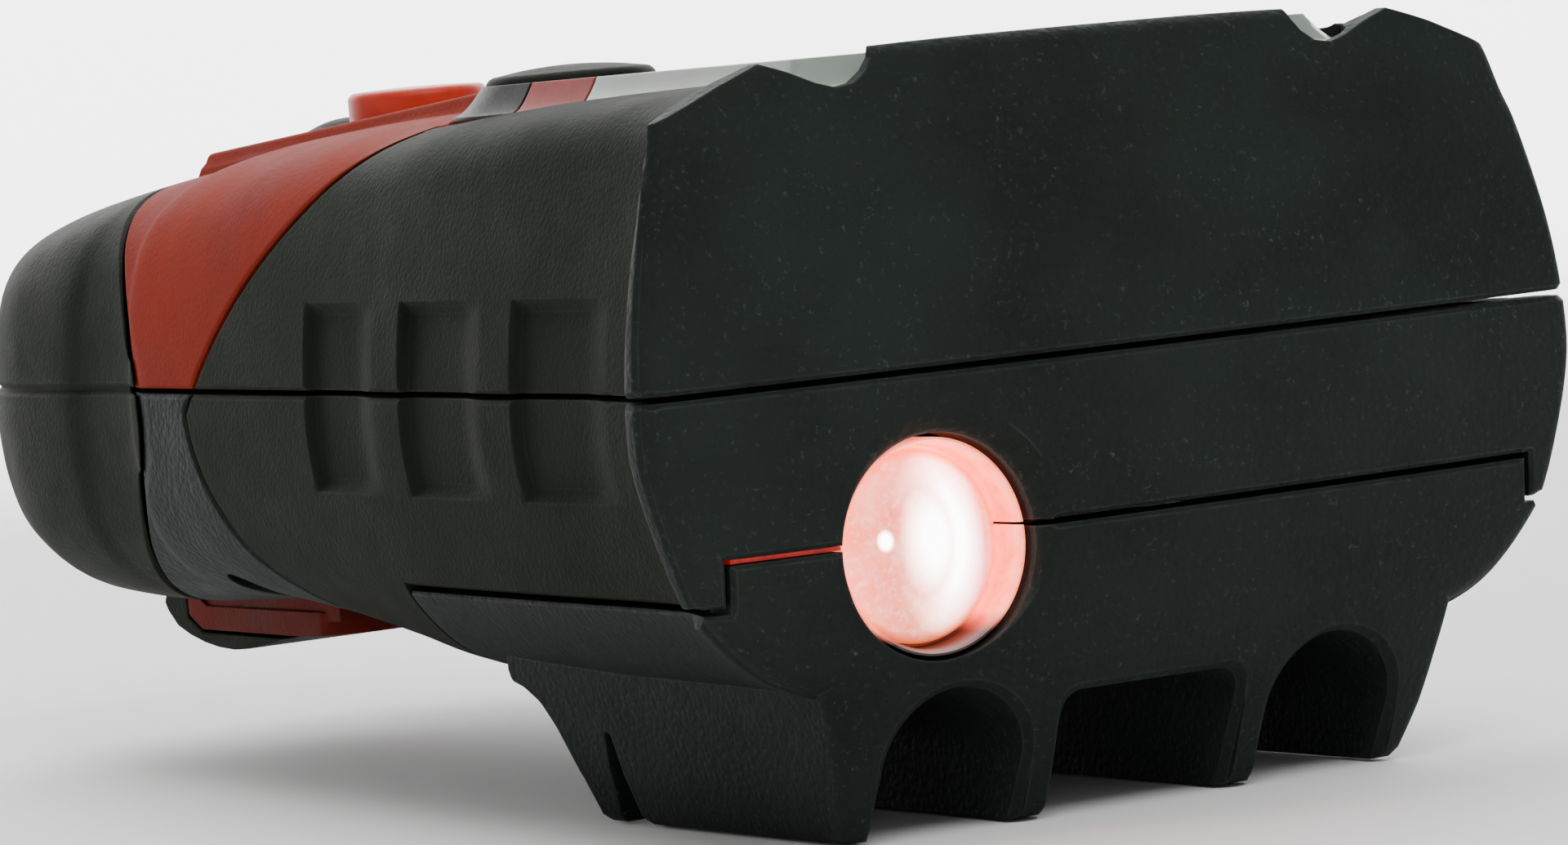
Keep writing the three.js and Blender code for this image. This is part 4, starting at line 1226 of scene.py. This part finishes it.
def lens_material():
    """Milky pink glass lit from inside: specks, a glowing middle, a red rim, and painted highlights: a white
    arc right of the centre and a small round dot at the left, reflections of the light source painted into
    the colour and the glow.
    """
    material, tree, surface, place = new_material("lens_glass")
    centred = node(tree, "ShaderNodeMapping")
    centred.inputs["Location"].default_value = (-LENS_X, 0, -LENS_Z)
    centred.inputs["Scale"].default_value = (1 / MM, 1 / MM, 1 / MM)
    tree.links.new(place, centred.inputs["Vector"])
    local = node(tree, "ShaderNodeSeparateXYZ")
    tree.links.new(centred.outputs["Vector"], local.inputs[0])
    x, z = local.outputs["X"], local.outputs["Z"]

    def distance(cx, cz, wx, wz):
        a = math_of(tree, "POWER", math_of(tree, "DIVIDE", math_of(tree, "SUBTRACT", x, cx), wx), 2.0)
        b = math_of(tree, "POWER", math_of(tree, "DIVIDE", math_of(tree, "SUBTRACT", z, cz), wz), 2.0)
        return math_of(tree, "SQRT", math_of(tree, "ADD", a, b))

    from_centre = distance(0.0, 0.0, 1.0, 1.0)
    speck = noise(tree, place, 0.45, 4.0, 0.75)
    cloud = noise(tree, place, 2.2, 3.0, 0.6)
    pale = ramp(tree, cloud, (0.3, (1.0, 0.15, 0.08)), (0.7, (1.0, 0.33, 0.24)))
    mottled = mixed(tree, ranged(tree, speck, 0.5, 0.72, 0.0, 0.8), pale, (1.0, 0.6, 0.54))
    side_tint = ranged(tree, distance(3.6, -1.6, 2.0, 3.6), 0.5, 1.2, 0.5, 0.0)
    lit = mixed(tree, side_tint, mottled, (0.85, 0.35, 0.6))
    # Painted highlights: the white arc right of the centre and the small round dot at the left are
    # reflections of the light source, painted into the colour and the glow.
    inner = distance(-0.4, 0.2, 2.6, 4.6)
    outer = distance(1.5, 0.2, 3.2, 5.4)
    painted_crescent = math_of(tree, "MULTIPLY", ranged(tree, inner, 0.5, 1.25, 0.0, 1.0),
                       ranged(tree, outer, 1.15, 0.55, 0.0, 1.0))
    core = ranged(tree, distance(1.0, 0.3, 2.2, 3.6), 0.35, 1.25, 1.0, 0.0)
    painted_spot = ranged(tree, distance(-2.6, 0.6, 0.55, 0.65), 1.2, 0.6, 0.0, 1.0)
    core_and_painted_highlights = math_of(tree, "MAXIMUM", math_of(tree, "MAXIMUM", painted_crescent, core), painted_spot)
    lit = mixed(tree, core_and_painted_highlights, lit, (1.0, 0.96, 0.95))
    rim = ranged(tree, from_centre, 5.5, 6.05, 0.0, 1.0)
    lit = mixed(tree, rim, lit, (1.0, 0.16, 0.06))
    tree.links.new(lit, surface.inputs["Base Color"])
    tree.links.new(lit, surface.inputs["Emission Color"])
    glow = ranged(tree, core_and_painted_highlights, 0.0, 1.0, LENS_GLOW, LENS_CORE_AND_HIGHLIGHT_GLOW)
    fade = ranged(tree, rim, 0.0, 1.0, 1.0, 0.6)
    tree.links.new(math_of(tree, "MULTIPLY", glow, fade), surface.inputs["Emission Strength"])
    surface.inputs["Roughness"].default_value = 0.1
    surface.inputs["Coat Weight"].default_value = 0.7
    surface.inputs["Coat Roughness"].default_value = 0.03
    bump = node(tree, "ShaderNodeBump")
    bump.inputs["Strength"].default_value = 0.5
    bump.inputs["Distance"].default_value = 0.02 * MM
    tree.links.new(math_of(tree, "ADD", speck, cloud), bump.inputs["Height"])
    tree.links.new(bump.outputs["Normal"], surface.inputs["Normal"])
    return material


UNLIT_SLEEVE = (0.035, 0.018, 0.016)


def glowing(name, dark, light, glow, rough=0.4, blotch=1.2, unlit_below=None):
    """Red plastic lit by the lamp behind it, down to the height unlit_below."""
    material, tree, surface, place = new_material(name)
    cloud = noise(tree, place, blotch, 4.0, 0.65)
    colour = ramp(tree, cloud, (0.32, dark), (0.7, light))
    surface.inputs["Emission Strength"].default_value = glow
    if unlit_below is not None:
        local = node(tree, "ShaderNodeSeparateXYZ")
        tree.links.new(place, local.inputs[0])
        lit = ranged(tree, local.outputs["Z"], unlit_below * MM, (unlit_below + 1.2) * MM, 0.0, 1.0)
        colour = mixed(tree, lit, UNLIT_SLEEVE, colour)
        tree.links.new(math_of(tree, "MULTIPLY", lit, glow), surface.inputs["Emission Strength"])
    tree.links.new(colour, surface.inputs["Base Color"])
    tree.links.new(colour, surface.inputs["Emission Color"])
    surface.inputs["Roughness"].default_value = rough
    bump = node(tree, "ShaderNodeBump")
    bump.inputs["Strength"].default_value = 0.6
    bump.inputs["Distance"].default_value = 0.03 * MM
    tree.links.new(cloud, bump.inputs["Height"])
    tree.links.new(bump.outputs["Normal"], surface.inputs["Normal"])
    return material


NOSE_BLACK = grained("nose_plastic", (0.0095, 0.013, 0.0115), (0.0165, 0.0215, 0.019), (0.075, 0.09, 0.082),
                     0.6, 0.34, 0.08, wear=0.6, painted_glint=0.9)
RED = grained("red_plastic", (0.17, 0.014, 0.007), (0.23, 0.023, 0.0115), (0.3, 0.075, 0.05), 0.66, 0.26,
              0.03, wear=0.4, shine=0.02)
# Painted shade: the trigger's red plastic is made darker than the housing's red because the trigger sits in
# shadow under the body.
SHADED_TRIGGER_RED = grained("trigger_red_painted_shade", (0.075, 0.007, 0.004), (0.12, 0.012, 0.007), (0.16, 0.035, 0.025), 0.6,
                      0.26, 0.03, wear=0.4)
RUBBER = grained("grip_rubber", (0.0075, 0.0095, 0.0062), (0.0125, 0.0155, 0.0102),
                 (0.04, 0.045, 0.036), 0.72, 0.22, 0.045, wear=0.5)
BUMPER = grained("bumper_rubber", (0.0075, 0.0095, 0.0062), (0.013, 0.016, 0.0105),
                 (0.04, 0.045, 0.036), 0.66, 0.22, 0.035, wear=0.5)
KEY_RED = glossy("key_red", (0.5, 0.026, 0.01), (0.68, 0.05, 0.02), 0.42)
KEY_BLACK = grained("key_black", (0.008, 0.01, 0.007), (0.014, 0.017, 0.012), (0.05, 0.05, 0.042), 0.62,
                    0.22, 0.02)
BEZEL_BLACK = glossy("bezel_black", (0.008, 0.01, 0.008), (0.015, 0.018, 0.015), 0.5, blotch=6.0, shine=0.1)
WINDOW = glossy("window", (0.22, 0.26, 0.225), (0.3, 0.345, 0.3), 0.18, coat=0.3, blotch=9.0)
STRIPE = glossy("stripe", (0.22, 0.03, 0.027), (0.3, 0.055, 0.05), 0.45, shine=0.08)
LENS = lens_material()
SLEEVE = glowing("sleeve", (1.0, 0.09, 0.035), (1.0, 0.28, 0.18), 2.0, unlit_below=LENS_Z - 5.8)
# Painted light: the glow that the lamp throws out through the front seam.
SEAM_LIGHT = glowing("seam_light", (0.5, 0.006, 0.003), (0.9, 0.02, 0.01), 0.2)
METAL = glossy("metal", (0.36, 0.36, 0.37), (0.6, 0.6, 0.6), 0.34, metallic=1.0, blotch=1.0)
DARK = grained("dark_part", (0.01, 0.011, 0.012), (0.02, 0.021, 0.022), (0.06, 0.06, 0.06), 0.5, 0.3, 0.02)
BOARD = glossy("board", (0.008, 0.06, 0.02), (0.015, 0.11, 0.04), 0.4, coat=0.3)
CELL = glossy("cell", (0.03, 0.06, 0.14), (0.06, 0.12, 0.26), 0.3, coat=0.3, blotch=8.0)
EMITTER = glowing("led", (0.7, 0.05, 0.03), (1.0, 0.2, 0.12), 0.6)


# ---------------------------------------------------------------- the pieces

GROOVES = seam_grooves() + grip_grooves()

finished(nose_cap(), "nose_cap_shell", "housing", "nose_cap", material=NOSE_BLACK)
finished(upper_housing(), "upper_housing_shell", "housing", "upper_housing", material=RED)
finished(lower_housing(), "lower_housing_shell", "housing", "lower_housing", material=NOSE_BLACK)
finished(base_cover(), "base_cover_shell", "housing", "base_cover", material=NOSE_BLACK)
for side, name in ((-1, "left"), (1, "right")):
    upper, lower = grips(side)
    finished(upper, f"{name}_grip_upper_skin", "housing", f"{name}_grip_upper", material=RUBBER)
    finished(lower, f"{name}_grip_lower_skin", "housing", f"{name}_grip_lower", material=RUBBER)
finished(rear_bumper(), "rear_bumper_cap", "housing", "rear_bumper", material=BUMPER)
finished(battery_door(), "battery_door_plate", "battery_door", "battery_door", material=NOSE_BLACK)

PLATE = display_plate()
finished(common(PLATE, in_front_of(GLASS_END)), "display_glass", "housing", "display_window",
         material=WINDOW)
finished(common(PLATE, behind(GLASS_END + GAP), in_front_of(STRIPE_END)), "display_stripe_strip", "housing",
         "display_stripe", material=STRIPE)
finished(common(PLATE, behind(STRIPE_END + GAP)), "display_bezel_plate", "housing", "display_bezel",
         material=BEZEL_BLACK)

finished(key("menu_key", 0.5), "menu_key_cap", "menu_key", "menu_key", material=KEY_BLACK, angle=50)
finished(key("measure_key", 0.15, 0.6), "measure_key_cap", "measure_key", "measure_key", material=KEY_RED,
         angle=50)
finished(key("mode_key", 0.9, 1.2), "mode_key_cap", "mode_key", "mode_key", material=KEY_BLACK, angle=50)

finished(trigger_lever(), "trigger_lever", "trigger", "trigger", material=SHADED_TRIGGER_RED)
finished(trigger_pad(), "trigger_rear_pad", "trigger", "trigger_pad", material=BUMPER)

finished(seam_light(), "seam_light_strip", "housing", material=SEAM_LIGHT)
finished(front_lens(), "front_lens_glass", "housing", "front_lens", material=LENS, angle=60)
finished(lens_sleeve(True), "upper_lens_sleeve", "housing", "lens_sleeve_upper", material=SLEEVE)
finished(lens_sleeve(False), "lower_lens_sleeve", "housing", "lens_sleeve_lower", material=SLEEVE)

clear_scratch()

CAD_FINISH = {
    METAL: ["trigger_pin", "trigger_spring", "front_battery_contact", "rear_battery_contact",
            "left_housing_screw", "right_housing_screw", "left_cover_screw", "right_cover_screw"],
    DARK: ["display_module", "display_holder", "menu_switch", "measure_switch", "mode_switch", "buzzer",
           "trigger_switch", "lens_barrel", "photodiode"],
    BOARD: ["main_board", "trigger_board", "emitter_board"],
    CELL: ["left_cell", "right_cell"],
    EMITTER: ["emitter"],
}
for material, names in CAD_FINISH.items():
    for name in names:
        shown = frame["nodes"][name]
        shown.data.materials.clear()
        shown.data.materials.append(material)


# ---------------------------------------------------------------- stage, lights and camera

AIM = Vector((-0.01347, -0.04583, 0.02606))
DISTANCE = 0.430
TURN = 31.17
DROP = 3.19
ROLL = 5.15
FOCAL = 150.0
PAPER = (0.93, 0.93, 0.93)


def paper_sweep():
    """A pale sheet that lies under the object and curves up behind it, square to the camera's heading."""
    floor = CAD_BOX[0][2] - 0.0002
    bend = 0.9
    radius = 0.5
    half = 3.0
    near = -2.5
    high = 2.2
    profile = [(near, floor), (bend, floor)]
    for turn in np.radians(np.linspace(10, 90, 9)):
        profile.append((bend + radius * math.sin(turn), floor + radius * (1 - math.cos(turn))))
    profile.append((bend + radius, high))
    heading = Matrix.Rotation(-math.radians(TURN), 4, "Z")
    points = [heading @ Vector((side * half, y, z)) for y, z in profile for side in (-1, 1)]
    faces = [(2 * i, 2 * i + 1, 2 * i + 3, 2 * i + 2) for i in range(len(profile) - 1)]
    sheet = mesh_object("paper_sweep", points, faces)
    sheet.data.shade_smooth()
    material, tree, surface, place = new_material("paper")
    shade = ramp(tree, noise(tree, place, 120.0, 3.0), (0.3, tuple(c * 0.985 for c in PAPER)), (0.7, PAPER))
    tree.links.new(shade, surface.inputs["Base Color"])
    surface.inputs["Roughness"].default_value = 0.9
    surface.inputs["Specular IOR Level"].default_value = 0.1
    sheet.data.materials.append(material)


paper_sweep()

WORLD = bpy.data.worlds.new("studio")
bpy.context.scene.world = WORLD
WORLD.use_nodes = True
WORLD.node_tree.nodes["Background"].inputs["Color"].default_value = (1.0, 0.99, 0.97, 1)
WORLD.node_tree.nodes["Background"].inputs["Strength"].default_value = 0.45


def area_light(name, power, width, height):
    data = bpy.data.lights.new(name, "AREA")
    data.energy = power
    data.shape = "RECTANGLE"
    data.size = width
    data.size_y = height
    lamp = bpy.data.objects.new(name, data)
    bpy.context.scene.collection.objects.link(lamp)
    return lamp


def soft_light(name, power, size, towards, distance):
    """An area light in a direction from the aim point, pointed back at it."""
    lamp = area_light(name, power, *size)
    way = Vector(towards).normalized()
    lamp.location = AIM + way * distance
    lamp.rotation_euler = way.to_track_quat("Z", "Y").to_euler()


soft_light("key_light", 3.2, (0.5, 0.35), (-0.1, -0.6, 0.8), 0.75)
soft_light("top_light", 4.0, (0.5, 0.5), (0.1, 0.45, 0.88), 0.8)
soft_light("side_light", 0.35, (0.4, 0.3), (-0.9, 0.15, 0.35), 0.8)


def paper_light():
    """A broad light that only reaches the raised part of the paper, from above and behind the object."""
    lamp = area_light("paper_light", 90.0, 2.5, 0.5)
    heading = Matrix.Rotation(-math.radians(TURN), 4, "Z")
    tilt = Matrix.Rotation(math.radians(75), 4, "X")
    lamp.matrix_world = heading @ Matrix.Translation((0, 0.55, 0.9)) @ tilt


paper_light()

turn = math.radians(TURN)
drop = math.radians(DROP)
forward = Vector((math.sin(turn) * math.cos(drop), math.cos(turn) * math.cos(drop), -math.sin(drop)))
level = forward.cross(Vector((0, 0, 1))).normalized()
upright = level.cross(forward)
roll = math.radians(ROLL)
right = level * math.cos(roll) - upright * math.sin(roll)
up = upright * math.cos(roll) + level * math.sin(roll)
camera_data = bpy.data.cameras.new("camera")
camera_data.lens = FOCAL
camera_data.sensor_width = 36.0
camera_data.clip_start = 0.01
camera = bpy.data.objects.new("camera", camera_data)
bpy.context.scene.collection.objects.link(camera)
place = AIM - forward * DISTANCE
camera.matrix_world = Matrix((
    (right.x, up.x, -forward.x, place.x),
    (right.y, up.y, -forward.y, place.y),
    (right.z, up.z, -forward.z, place.z),
    (0, 0, 0, 1),
))
bpy.context.scene.camera = camera
